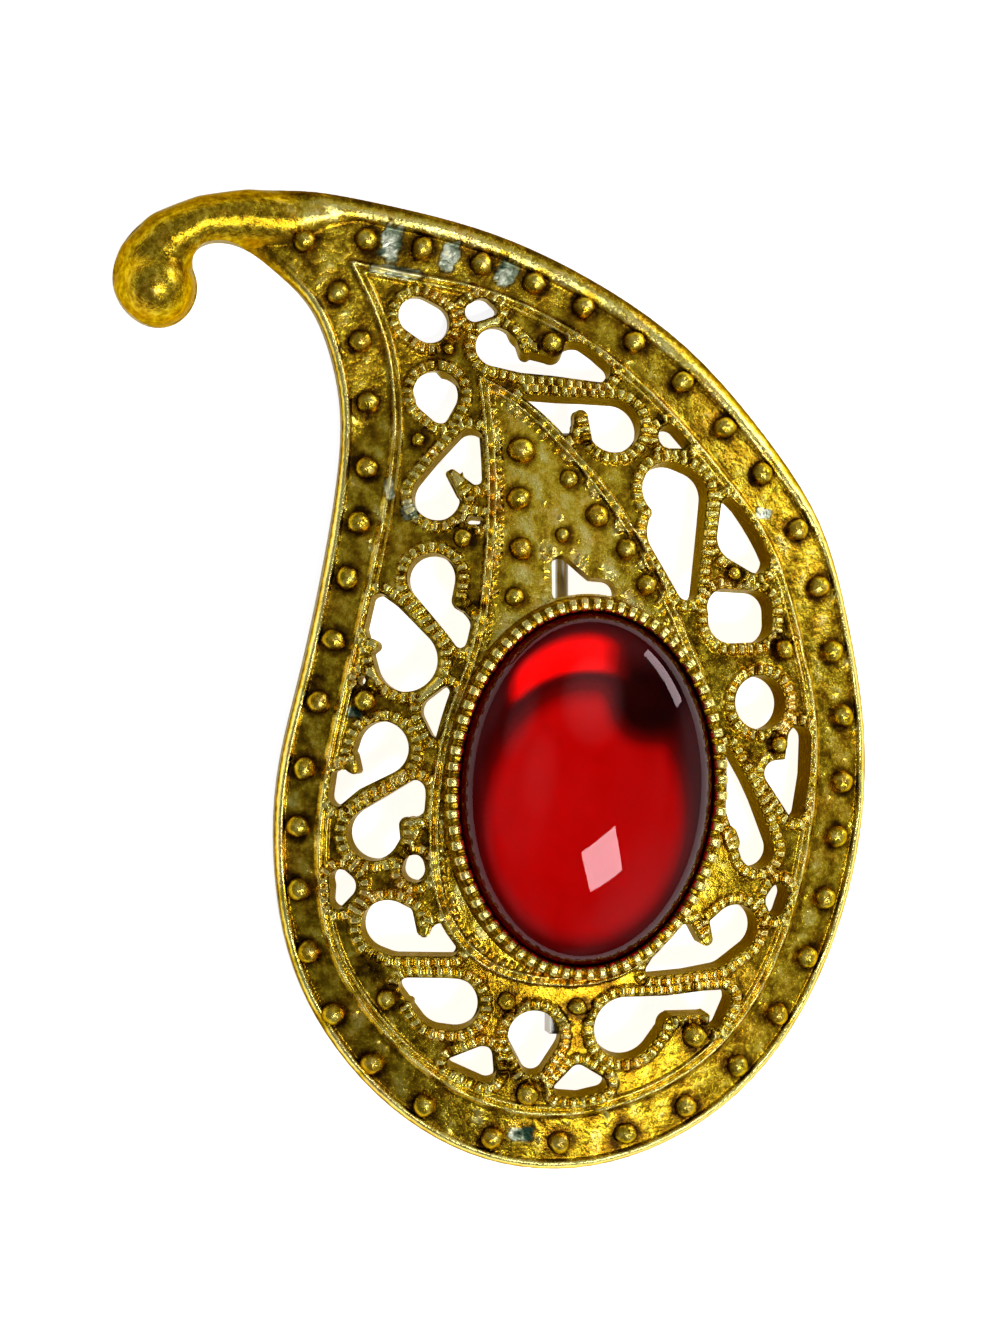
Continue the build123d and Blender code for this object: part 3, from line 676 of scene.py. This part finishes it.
def mesh_object(name, points, faces):
    """A smooth-shaded mesh from points in millimetres and lists of faces, each an array with a row a face."""
    mesh = bpy.data.meshes.new(name)
    mesh.vertices.add(len(points))
    mesh.vertices.foreach_set("co", (np.asarray(points, dtype=np.float32) * MM).ravel())
    loops = np.concatenate([f.ravel() for f in faces]).astype(np.int32)
    sizes = np.concatenate([np.full(len(f), f.shape[1]) for f in faces])
    starts = np.concatenate([[0], np.cumsum(sizes)[:-1]]).astype(np.int32)
    mesh.loops.add(len(loops))
    mesh.loops.foreach_set("vertex_index", loops)
    mesh.polygons.add(len(sizes))
    mesh.polygons.foreach_set("loop_start", starts)
    mesh.update(calc_edges=True)
    mesh.validate()
    mesh.polygons.foreach_set("use_smooth", np.full(len(mesh.polygons), True))
    piece = bpy.data.objects.new(name, mesh)
    bpy.context.scene.collection.objects.link(piece)
    return piece


def paint(piece, name, values):
    """A number for each vertex, under a name that the piece's material reads."""
    layer = piece.data.attributes.new(name, "FLOAT", "POINT")
    layer.data.foreach_set("value", np.asarray(values, dtype=np.float32))


def dressed(piece):
    """Tells the frame which body carries the piece."""
    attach(piece, "root")


def ring_faces(rows, count):
    """Faces between rows of points that close round, with the same count of points in each row."""
    here = np.arange(count)
    after = (here + 1) % count
    strip = np.stack((here, after, after + count, here + count), axis=1)
    return [strip + r * count for r in range(rows - 1)]


def fan(start, tip):
    """Faces from one ring of the stone's spokes to a single point."""
    here = np.arange(STONE_SPOKES)
    after = (here + 1) % STONE_SPOKES
    return np.stack((start + here, start + after, np.full(STONE_SPOKES, tip)), axis=1)


# The front, in three pieces that share their seams
shown_d = np.minimum(metal_d, oval_d - STONE_PLAY - 0.3)
points, faces, rim_pieces = contour_cells(shown_d, FULL_X, FULL_Y)
front_points = np.column_stack((points, sample(top, points)))
tilt_y, tilt_x = np.gradient(top, STEP)
front_normals = np.column_stack((-sample(tilt_x, points), -sample(tilt_y, points), np.ones(len(points))))
front_normals /= np.linalg.norm(front_normals, axis=1)[:, None]
point_rail, point_leaf = sample(rail_d, points), sample(leaf_d, points)
point_painted_light_and_stains, point_worn = sample(painted_light_and_stains, points), sample(worn, points)


def front_piece(name, wanted):
    """The front's faces whose first corner is wanted, as one piece."""
    kept = [f[wanted[f[:, 0]]] for f in faces]
    kept = [f for f in kept if len(f)]
    used = np.unique(np.concatenate([f.ravel() for f in kept]))
    new = np.full(len(points), -1, np.int64)
    new[used] = np.arange(len(used))
    piece = mesh_object(name, front_points[used], [new[f] for f in kept])
    piece.data.normals_split_custom_set_from_vertices(front_normals[used].tolist())
    # The "height" number is painted light and shade, with lacquer spots and wear
    paint(piece, "height", point_painted_light_and_stains[used])
    paint(piece, "worn", point_worn[used])
    return piece


band_piece = front_piece("studded_band", point_rail < 0)
leaf_piece = front_piece("leaf_round_stone", (point_rail >= 0) & (point_leaf > 0))
field_piece = front_piece("pierced_field", (point_rail >= 0) & (point_leaf <= 0))

# The walls down to the back: straight at the edge and off the dome, slanting with the dome on it
lean_x = (points[:, 0] - DOME_X) / DOME_RADIUS
lean_y = (points[:, 1] - DOME_Y) / (DOME_RADIUS * DOME_STRETCH**2)
on_edge = sample(edge_d, points) < 0.3
on_cup = sample(oval_d, points) < collar_out - 0.1
on_dome = sample(dome_height(X, Y, PLATE), points) > 0.05
keep = ~on_cup[rim_pieces[:, 0]]
a, b = rim_pieces[keep, 0], rim_pieces[keep, 1]
used, turned = np.unique(np.concatenate((a, b)), return_inverse=True)
a, b = turned[: len(a)], turned[len(a):]
count = len(used)
ring_top = front_points[used]
slant = np.where(on_edge | ~on_dome, 0.0, 0.96 * PLATE)[used]
wall_foot = np.maximum(dome_height(ring_top[:, 0], ring_top[:, 1], PLATE), 0.0)
wall_foot = np.where(on_edge[used], 0.0, wall_foot)
wall = []
for k in range(WALL_LEVELS):
    share = k / (WALL_LEVELS - 1)
    level = ring_top.copy()
    level[:, 0] -= share * slant * lean_x[used]
    level[:, 1] -= share * slant * lean_y[used]
    level[:, 2] = ring_top[:, 2] * (1 - share) + wall_foot * share
    wall.append(level)
wall_strip = np.stack((b, a, a + count, b + count), axis=1)
wall_faces = [wall_strip + k * count for k in range(WALL_LEVELS - 1)]
walls = mesh_object("pierced_walls", np.vstack(wall), wall_faces)
# The walls are painted near black, darker further down: painted shade, against the light the white floor
# throws on them
paint(walls, "height", np.repeat(-0.04 - 0.02 * np.arange(WALL_LEVELS), count))

# The back: the same outline on every second line of the grid
coarse = (slice(None, None, 2), slice(None, None, 2))
back_points, back_faces, _ = contour_cells(metal_d[coarse], FULL_X[coarse], FULL_Y[coarse])
back_all = np.column_stack((back_points, sample(under, back_points)))
back = mesh_object("back_hollow", back_all, [f[:, ::-1] for f in back_faces])
paint(back, "height", 0.4 + 0.1 * sample(noise, back_points))

# The studs, a little uneven, each a round cap whose last ring flares out a little below the others
rng = np.random.default_rng(7)
ball_points = []
for sx, sy, radius in stud_rows:
    ground = float(sample(base, np.array([[sx, sy]]))[0]) - 0.05
    stretch = rng.uniform(0.93, 1.06)
    turn = rng.uniform(0, math.pi)
    tall = radius * rng.uniform(0.92, 1.06)
    for r in range(STUD_RINGS):
        angle = math.pi / 2 * r / (STUD_RINGS - 1) * STUD_WRAP
        spread = STUD_FOOT if r == STUD_RINGS - 1 else math.sin(min(angle, math.pi / 2))
        for s in range(STUD_SPOKES):
            around = 2 * math.pi * s / STUD_SPOKES
            ragged = 1 + 0.025 * math.sin(3 * around + turn) + 0.02 * math.sin(5 * around - 2 * turn)
            wide = radius * spread * ragged
            dx, dy = wide * stretch * math.cos(around), wide / stretch * math.sin(around)
            high = tall * math.cos(angle) + 0.12
            ball_points.append((
                sx + dx * math.cos(turn) - dy * math.sin(turn),
                sy + dx * math.sin(turn) + dy * math.cos(turn),
                ground + high + (0.02 * math.sin(4 * around + turn) if r else 0.0),
            ))
stud_strips = [np.roll(f[:, ::-1], 1, axis=1) for f in ring_faces(STUD_RINGS, STUD_SPOKES)]
stud_size = STUD_RINGS * STUD_SPOKES
ball_faces = [strip + k * stud_size for k in range(len(stud_rows)) for strip in stud_strips]
stud_piece = mesh_object("studs", np.array(ball_points), ball_faces)
# Each stud is painted bright on its top and dark towards its foot: painted highlight and painted shade
stud_light = 0.72 * (1 - np.arange(STUD_RINGS) / (STUD_RINGS - 1)) ** 0.8
paint(stud_piece, "height", np.tile(np.repeat(stud_light, STUD_SPOKES), len(stud_rows)))

# The toothed collar and the floor of the cup
turns = TOOTH_COUNT * TOOTH_POINTS
theta = np.linspace(0, 2 * math.pi, turns, endpoint=False)
tooth_chance = np.random.default_rng(19).uniform(0, 1, TOOTH_COUNT)
tooth_number = np.round(theta * TOOTH_COUNT / (2 * math.pi)).astype(int) % TOOTH_COUNT
tooth_low = 0.2 * tooth_chance[tooth_number]
tooth = smooth_step(np.cos(theta * TOOTH_COUNT), -0.75 + 0.6 * tooth_chance[tooth_number], 0.1)


def around_stone(out, z_at):
    """A ring of points a distance outside the stone's oval, at the given heights."""
    a, b = STONE_WIDE / 2, STONE_LONG / 2
    px, py = a * np.cos(theta), b * np.sin(theta)
    nx, ny = b * np.cos(theta), a * np.sin(theta)
    long = np.hypot(nx, ny)
    return on_stone(px + nx / long * out, py + ny / long * out, z_at)


foot_ring = around_stone(collar_out + 0.3, np.zeros(turns))
foot_z = dome_height(foot_ring[:, 0], foot_ring[:, 1])
# The collar's section, from its foot over the teeth to the cup's floor: distance outside the stone, share of
# the way up (0 at the foot and below 0 at the floor), extra height, depth of the grooves, painted brightness:
# painted highlight on the teeth's tops and painted shade down inside the cup.
profile = (
    (collar_out + 0.30, 0.0, -0.35, 0.0, 0.40),
    (collar_out + 0.12, 0.0, 0.15, 0.0, 0.35),
    (collar_out + 0.03, 0.30, 0.0, 0.04, 0.4),
    (collar_out + 0.02, 0.66, 0.0, 0.14, 0.5),
    (collar_out - 0.02, 0.86, 0.0, 0.32, 0.75),
    (collar_out - 0.12, 0.97, 0.0, 0.5, 0.9),
    (collar_out - 0.38, 1.0, 0.0, 0.55, 0.95),
    (STONE_PLAY + 0.30, 1.0, 0.0, 0.55, 0.9),
    (STONE_PLAY + 0.12, 0.96, 0.0, 0.5, 0.8),
    (STONE_PLAY + 0.01, 0.84, 0.0, 0.3, 0.4),
    (STONE_PLAY, 0.45, 0.0, 0.0, 0.1),
    (STONE_PLAY, -0.05, 0.0, 0.0, 0.1),
)
collar_rows = []
collar_painted_light = []
for out, rise, extra, groove, light in profile:
    if rise == 0.0:
        zs = foot_z + extra
    elif rise < 0:
        zs = np.full(turns, SEAT)
    else:
        start = foot_z if out > collar_out - 0.05 else np.full(turns, SEAT)
        zs = start + (COLLAR_TOP - 0.04 - start) * rise
    zs = zs - groove * (1 - tooth) - tooth_low * (rise > 0.8)
    outs = out - 0.14 * (1 - tooth) * (groove > 0.1) * (out > 0.5)
    collar_rows.append(around_stone(outs, np.minimum(zs, COLLAR_TOP)))
    # Tooth tops painted bright and the grooves between them dark: painted highlight and painted shade
    collar_painted_light.append(light * (0.35 + 0.65 * tooth) if groove > 0.1 else np.full(turns, light))
collar_rows.append(np.tile((STONE_X, STONE_Y, SEAT), (turns, 1)))
# The cup's floor painted dark: painted shade
collar_painted_light.append(np.full(turns, 0.1))
collar = mesh_object("toothed_collar", np.vstack(collar_rows), ring_faces(len(collar_rows), turns))
paint(collar, "height", np.concatenate(collar_painted_light))

# The stone: an upright girdle, a half-ellipse crown and a flat back
phi = np.linspace(0, 2 * math.pi, STONE_SPOKES, endpoint=False)
rises = np.linspace(0, math.pi / 2, CROWN_ROWS)[1:-1]
bands = [(1.0, 0.0), (1.0, 0.5 * STONE_GIRDLE), (1.0, STONE_GIRDLE)]
bands += [(math.cos(t), STONE_GIRDLE + STONE_CROWN * math.sin(t)) for t in rises]
stone_base = SEAT + SEAT_CLEARANCE


def stone_oval(share, trim, z_at):
    """A ring like the stone's outline: its share of the size once trimmed all round, and its height."""
    wide, long = STONE_WIDE / 2 - trim, STONE_LONG / 2 - trim
    return on_stone(wide * share * np.cos(phi), long * share * np.sin(phi), z_at)


stone_rows = [stone_oval(share, 0.0, stone_base + z_at) for share, z_at in bands]
stone_tips = (
    (STONE_X, STONE_Y, stone_base + STONE_GIRDLE + STONE_CROWN),
    (STONE_X, STONE_Y, stone_base),
)
crown_point = len(stone_rows) * STONE_SPOKES
cap = fan(crown_point - STONE_SPOKES, crown_point)
floor_fan = fan(0, crown_point + 1)[:, (1, 0, 2)]
stone_faces = ring_faces(len(stone_rows), STONE_SPOKES) + [cap, floor_fan]
stone = mesh_object("red_stone", np.vstack((*stone_rows, stone_tips)), stone_faces)

# The foil, just inside the stone's flat back so that the back gives no second reflection
foil_base = stone_base + FOIL_LIFT
foil_shares = np.linspace(1.0, 0.02, FOIL_RINGS)
foil_rows = [stone_oval(share, FOIL_TRIM, foil_base + FOIL_RISE * share**2) for share in foil_shares]
foil_points = np.vstack((*foil_rows, (STONE_X, STONE_Y, foil_base)))
foil_tip = FOIL_RINGS * STONE_SPOKES
foil_faces = ring_faces(FOIL_RINGS, STONE_SPOKES) + [fan(foil_tip - STONE_SPOKES, foil_tip)]
foil = mesh_object("cup_foil", foil_points, foil_faces)

# Its glow, all painted light: a wide pool of painted light, a bright crescent of it at the upper left and a
# patch of painted shade at the upper right
foil_u, foil_v = stone_axes(foil_points[:, 0], foil_points[:, 1])
foil_u, foil_v = foil_u / (STONE_WIDE / 2), foil_v / (STONE_LONG / 2)
pool_edge = np.hypot(foil_u / 0.85, (foil_v + 0.16) / 0.80)
pool = 1 - smooth_step(pool_edge, 0.74, 0.99)
crescent = smooth_step(pool_edge, 0.97, 1.04) * (1 - smooth_step(np.hypot(foil_u, foil_v), 0.79, 0.88))
crescent = crescent * smooth_step(foil_v, 0.38, 0.5) * smooth_step(-foil_u, -0.3, 0.02)
crescent = crescent * smooth_step(foil_u, -0.66, -0.5)
painted_shade_patch = 1 - smooth_step(np.hypot((foil_u - 0.42) / 0.32, (foil_v - 0.5) / 0.26), 0.5, 1.2)
# The glow is painted light, which the foil gives off though it is no lamp
paint(foil, "glow", np.clip(0.1 + 0.52 * pool * (1 - painted_shade_patch) - 0.1 * painted_shade_patch + crescent, 0, 1))


# Materials
def node(tree, kind, **values):
    """A new node with its settings."""
    made = tree.nodes.new(kind)
    for name, value in values.items():
        setattr(made, name, value)
    return made


def fill(tree, sockets, values):
    """Gives each input, by its name or number, a constant or another node's output."""
    for name, value in values.items():
        if hasattr(value, "is_output"):
            tree.links.new(value, sockets[name])
        else:
            sockets[name].default_value = value


def ramp(tree, value, stops):
    """A value turned into a colour; each stop is a position and its colour."""
    made = node(tree, "ShaderNodeValToRGB")
    elements = made.color_ramp.elements
    for end, (position, colour) in zip(elements, (stops[0], stops[-1])):
        end.position = position
        end.color = (*colour, 1)
    for position, colour in stops[1:-1]:
        elements.new(position).color = (*colour, 1)
    tree.links.new(value, made.inputs[0])
    return made.outputs[0]


def grey_ramp(tree, value, stops):
    """A value turned into a grey; each stop is a position and its brightness."""
    return ramp(tree, value, [(position, (grey,) * 3) for position, grey in stops])


def mixed(tree, kind, share, first, second):
    """Two colours put together."""
    made = node(tree, "ShaderNodeMix", data_type="RGBA", blend_type=kind)
    fill(tree, made.inputs, {0: share, 6: first, 7: second})
    return made.outputs[2]


def worked_out(tree, kind, *values):
    """A number worked out from others."""
    made = node(tree, "ShaderNodeMath", operation=kind)
    fill(tree, made.inputs, dict(enumerate(values)))
    return made.outputs[0]


def noise_of(tree, coords, scale, detail=4.0, rough=0.55):
    """A cloudy pattern, finer with a larger scale."""
    made = node(tree, "ShaderNodeTexNoise")
    fill(tree, made.inputs, {"Vector": coords, "Scale": scale, "Detail": detail, "Roughness": rough})
    return made.outputs["Fac"]


def on_object(tree):
    """Places on the object itself, for its patterns."""
    return node(tree, "ShaderNodeTexCoord").outputs["Object"]


def painted(tree, name):
    """The numbers painted on a piece's vertices."""
    return node(tree, "ShaderNodeAttribute", attribute_name=name).outputs["Fac"]


def bumped(tree, values):
    """A surface roughened by a pattern's height."""
    made = node(tree, "ShaderNodeBump")
    fill(tree, made.inputs, values)
    return made.outputs[0]


def new_material(name):
    """A material, its node tree and its shader."""
    made = bpy.data.materials.new(name)
    made.use_nodes = True
    return made, made.node_tree, made.node_tree.nodes["Principled BSDF"]


def gold(name):
    """Gilt casting coloured by its painted numbers: brown in the hollows, painted shade on the sides away
    from the light and a painted yellow highlight on the crests; pitted, with grey where it has worn.
    """
    made, tree, shader = new_material(name)
    coords = on_object(tree)
    worn_at = painted(tree, "worn")
    speckle = noise_of(tree, coords, 1900.0, 5.0, 0.65)
    patch = noise_of(tree, coords, 260.0, 4.0, 0.6)
    grain = noise_of(tree, coords, 5200.0, 3.0, 0.6)
    # The painted "height" number carries painted light and shade, lacquer spots and wear; speckle adds random
    # tone
    shade = worked_out(tree, "ADD", speckle, painted(tree, "height"))
    shade = worked_out(tree, "SUBTRACT", shade, 0.5)
    # From dark brown to pale yellow, the pale end being painted highlight
    tone = ramp(tree, shade, (
        (0.0, (0.045, 0.019, 0.003)),
        (0.2, (0.19, 0.095, 0.005)),
        (0.36, (0.38, 0.22, 0.009)),
        (0.54, (0.70, 0.47, 0.03)),
        (0.85, (0.92, 0.76, 0.26)),
    ))
    tint = ramp(tree, patch, ((0.35, (1.0, 0.92, 0.9)), (0.5, (0.9, 0.98, 0.85)), (0.72, (1.0, 0.84, 0.7))))
    grey = ramp(tree, shade, (
        (0.2, (0.015, 0.035, 0.02)),
        (0.5, (0.22, 0.27, 0.17)),
        (0.72, (0.74, 0.77, 0.60)),
        (0.9, (0.92, 0.86, 0.45)),
    ))
    gloss = grey_ramp(tree, speckle, ((0.3, 0.13), (0.7, 0.34)))
    pits = bumped(tree, {"Height": speckle, "Strength": 0.6, "Distance": 0.13 * MM})
    grains = bumped(tree, {"Height": grain, "Strength": 0.3, "Distance": 0.05 * MM, "Normal": pits})
    fill(tree, shader.inputs, {
        "Base Color": mixed(tree, "MIX", worn_at, mixed(tree, "MULTIPLY", 1.0, tone, tint), grey),
        "Metallic": 1.0,
        "Specular Tint": (0.8, 0.62, 0.2, 1),
        "Roughness": worked_out(tree, "MULTIPLY_ADD", worn_at, 0.12, gloss),
        "Normal": grains,
    })
    return made


def plain_metal(name, colour, rough):
    """Bare wire, clouded a little."""
    made, tree, shader = new_material(name)
    cloud = noise_of(tree, on_object(tree), 900.0)
    fill(tree, shader.inputs, {
        "Base Color": ramp(tree, cloud, ((0.35, tuple(0.7 * c for c in colour)), (0.65, colour))),
        "Metallic": 1.0,
        "Roughness": grey_ramp(tree, cloud, ((0.3, rough), (0.7, rough + 0.15))),
    })
    return made


def red_glass():
    """Clear red glass whose reflections are tinted a little."""
    made, tree, shader = new_material("red_glass")
    cloud = noise_of(tree, on_object(tree), 120.0, 2.0)
    fill(tree, shader.inputs, {
        "Base Color": ramp(tree, cloud, ((0.3, (0.62, 0.002, 0.004)), (0.7, (0.80, 0.004, 0.006)))),
        "Roughness": 0.015,
        "IOR": 1.4,
        "Specular Tint": (0.7, 0.5, 0.54, 1),
        "Transmission Weight": 1.0,
    })
    return made


def stone_foil():
    """The backing under the glass, whose red follows the painted glow: painted light, which it gives off
    though it is no lamp.
    """
    made, tree, shader = new_material("stone_foil")
    tone = ramp(tree, painted(tree, "glow"), (
        (0.0, (0.004, 0.0, 0.0)),
        (0.3, (0.12, 0.001, 0.001)),
        (0.62, (0.52, 0.006, 0.003)),
        (1.0, (1.0, 0.02, 0.008)),
    ))
    fill(tree, shader.inputs, {
        "Base Color": tone,
        # The foil glows by itself though it is no lamp: painted light
        "Emission Color": tone,
        "Emission Strength": 0.42,
        "Metallic": 0.6,
        "Roughness": 0.5,
    })
    return made


def girdle_paint():
    """The dark upright side of the stone."""
    made, tree, shader = new_material("girdle_paint")
    cloud = noise_of(tree, on_object(tree), 700.0)
    tone = ramp(tree, cloud, ((0.35, (0.03, 0.001, 0.001)), (0.65, (0.09, 0.004, 0.004))))
    fill(tree, shader.inputs, {"Base Color": tone, "Roughness": 0.35})
    return made


# What each piece is made of, and the body that carries it
gilt = gold("gilt")
gilt_pieces = (band_piece, leaf_piece, field_piece, walls, back, stud_piece, collar)
for piece in gilt_pieces:
    piece.data.materials.append(gilt)
    dressed(piece)
foil.data.materials.append(stone_foil())
dressed(foil)
stone.data.materials.append(red_glass())
stone.data.materials.append(girdle_paint())
side_faces = np.zeros(len(stone.data.polygons), np.int32)
side_faces[: 2 * STONE_SPOKES] = 1
stone.data.polygons.foreach_set("material_index", side_faces)
for face in stone.data.polygons[-STONE_SPOKES:]:
    face.use_smooth = False
dressed(stone)
for piece in (*gilt_pieces, foil):
    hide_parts("body")
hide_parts("cabochon")
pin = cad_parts["pin"]
pin.data.materials.clear()
pin.data.materials.append(plain_metal("pin_wire", (0.42, 0.41, 0.37), 0.3))

# The white floor, a hair under the brooch, three metres each way from it
FLOOR_HALF = 3.0
floor_mesh = bpy.data.meshes.new("floor")
corners = [(FLOOR_HALF * x, FLOOR_HALF * y, 0) for x, y in ((-1, -1), (1, -1), (1, 1), (-1, 1))]
floor_mesh.from_pydata(corners, [], [(0, 1, 2, 3)])
floor = bpy.data.objects.new("floor", floor_mesh)
floor.location.z = -0.03 * MM
bpy.context.scene.collection.objects.link(floor)
white, white_tree, white_shader = new_material("pale_floor")
fill(white_tree, white_shader.inputs, {
    "Base Color": (0.92, 0.92, 0.92, 1),
    "Roughness": 0.9,
    "Emission Color": (1, 1, 1, 1),
    "Emission Strength": 0.85,
})
floor_mesh.materials.append(white)

# Soft glows in the room: direction, half width in radians, strength.
GLOWS = (
    ((0.55, -0.52, 0.68), 0.42, 0.8),
    ((0.95, -0.1, 0.25), 0.5, 0.6),
    ((-0.55, 0.35, 0.75), 0.25, 1.1),
    ((-0.3, 0.05, 0.95), 0.2, 0.7),
    ((0.12, 0.42, 0.9), 0.3, 2.3),
    ((0.1, 0.7, 0.7), 0.22, 0.45),
)

# The room: brightest low on its walls and dimmer overhead, with broad patches
world = bpy.data.worlds.new("studio")
bpy.context.scene.world = world
world.use_nodes = True
sky = world.node_tree
toward = node(sky, "ShaderNodeTexCoord").outputs["Generated"]
height_of = node(sky, "ShaderNodeSeparateXYZ")
sky.links.new(toward, height_of.inputs[0])
fall = grey_ramp(sky, height_of.outputs[2], (
    (0.0, 0.40), (0.35, 0.55), (0.62, 0.48), (0.85, 0.36), (1.0, 0.32),
))
room = grey_ramp(sky, noise_of(sky, toward, 1.7, 1.0), ((0.38, 0.25), (0.6, 1.3)))
sky_colour = mixed(sky, "MULTIPLY", 1.0, fall, room)
for direction, wide, strength in GLOWS:
    aimed = node(sky, "ShaderNodeVectorMath", operation="DOT_PRODUCT")
    fill(sky, aimed.inputs, {0: toward, 1: Vector(direction).normalized()})
    spread = ((math.cos(wide), 0), (math.cos(0.2 * wide), strength))
    glow = grey_ramp(sky, aimed.outputs["Value"], spread)
    sky_colour = mixed(sky, "ADD", 1.0, sky_colour, glow)
fill(sky, sky.nodes["Background"].inputs, {0: sky_colour, 1: 0.5})
bpy.context.scene.view_settings.view_transform = "Standard"


def softbox(name, at, size, watts, roll):
    """An area light in metres that faces the middle of the brooch, turned by the roll in degrees."""
    data = bpy.data.lights.new(name, "AREA")
    data.shape = "RECTANGLE"
    data.size, data.size_y = size
    data.energy = watts
    made = bpy.data.objects.new(name, data)
    bpy.context.scene.collection.objects.link(made)
    made.location = at
    facing = (-Vector(at)).to_track_quat("-Z", "Y")
    made.rotation_euler = (facing @ Quaternion((0, 0, 1), math.radians(roll))).to_euler()


softbox("window_above", (0.125, -0.19, 0.5), (0.15, 0.13), 1.5, -10)
softbox("window_upper_right", (0.42, 0.27, 0.16), (0.22, 0.12), 0.9, 0)

# The camera, as in the photo: a little to the left, in line with the photo's pixels
CAMERA_TILT = math.radians(7.0)
CAMERA_AIM = Vector((0.33, 0.94, 3.0)) * MM
CAMERA_AWAY = 0.280
PIXEL = 0.0721 * MM
PIXELS_WIDE = 1000
SENSOR = 36.0
camera_data = bpy.data.cameras.new("camera")
camera = bpy.data.objects.new("camera", camera_data)
bpy.context.scene.collection.objects.link(camera)
look = Vector((math.sin(CAMERA_TILT), 0, -math.cos(CAMERA_TILT)))
right = Vector((math.cos(CAMERA_TILT), 0, math.sin(CAMERA_TILT)))
up = Vector((0, 1, 0))
pose = Matrix((right, up, -look)).transposed().to_4x4()
pose.translation = CAMERA_AIM - look * CAMERA_AWAY
camera.matrix_world = pose
camera_data.sensor_fit = "HORIZONTAL"
camera_data.sensor_width = SENSOR
camera_data.lens = SENSOR * (CAMERA_AWAY / PIXEL) / PIXELS_WIDE
camera_data.clip_start = 0.01
bpy.context.scene.camera = camera
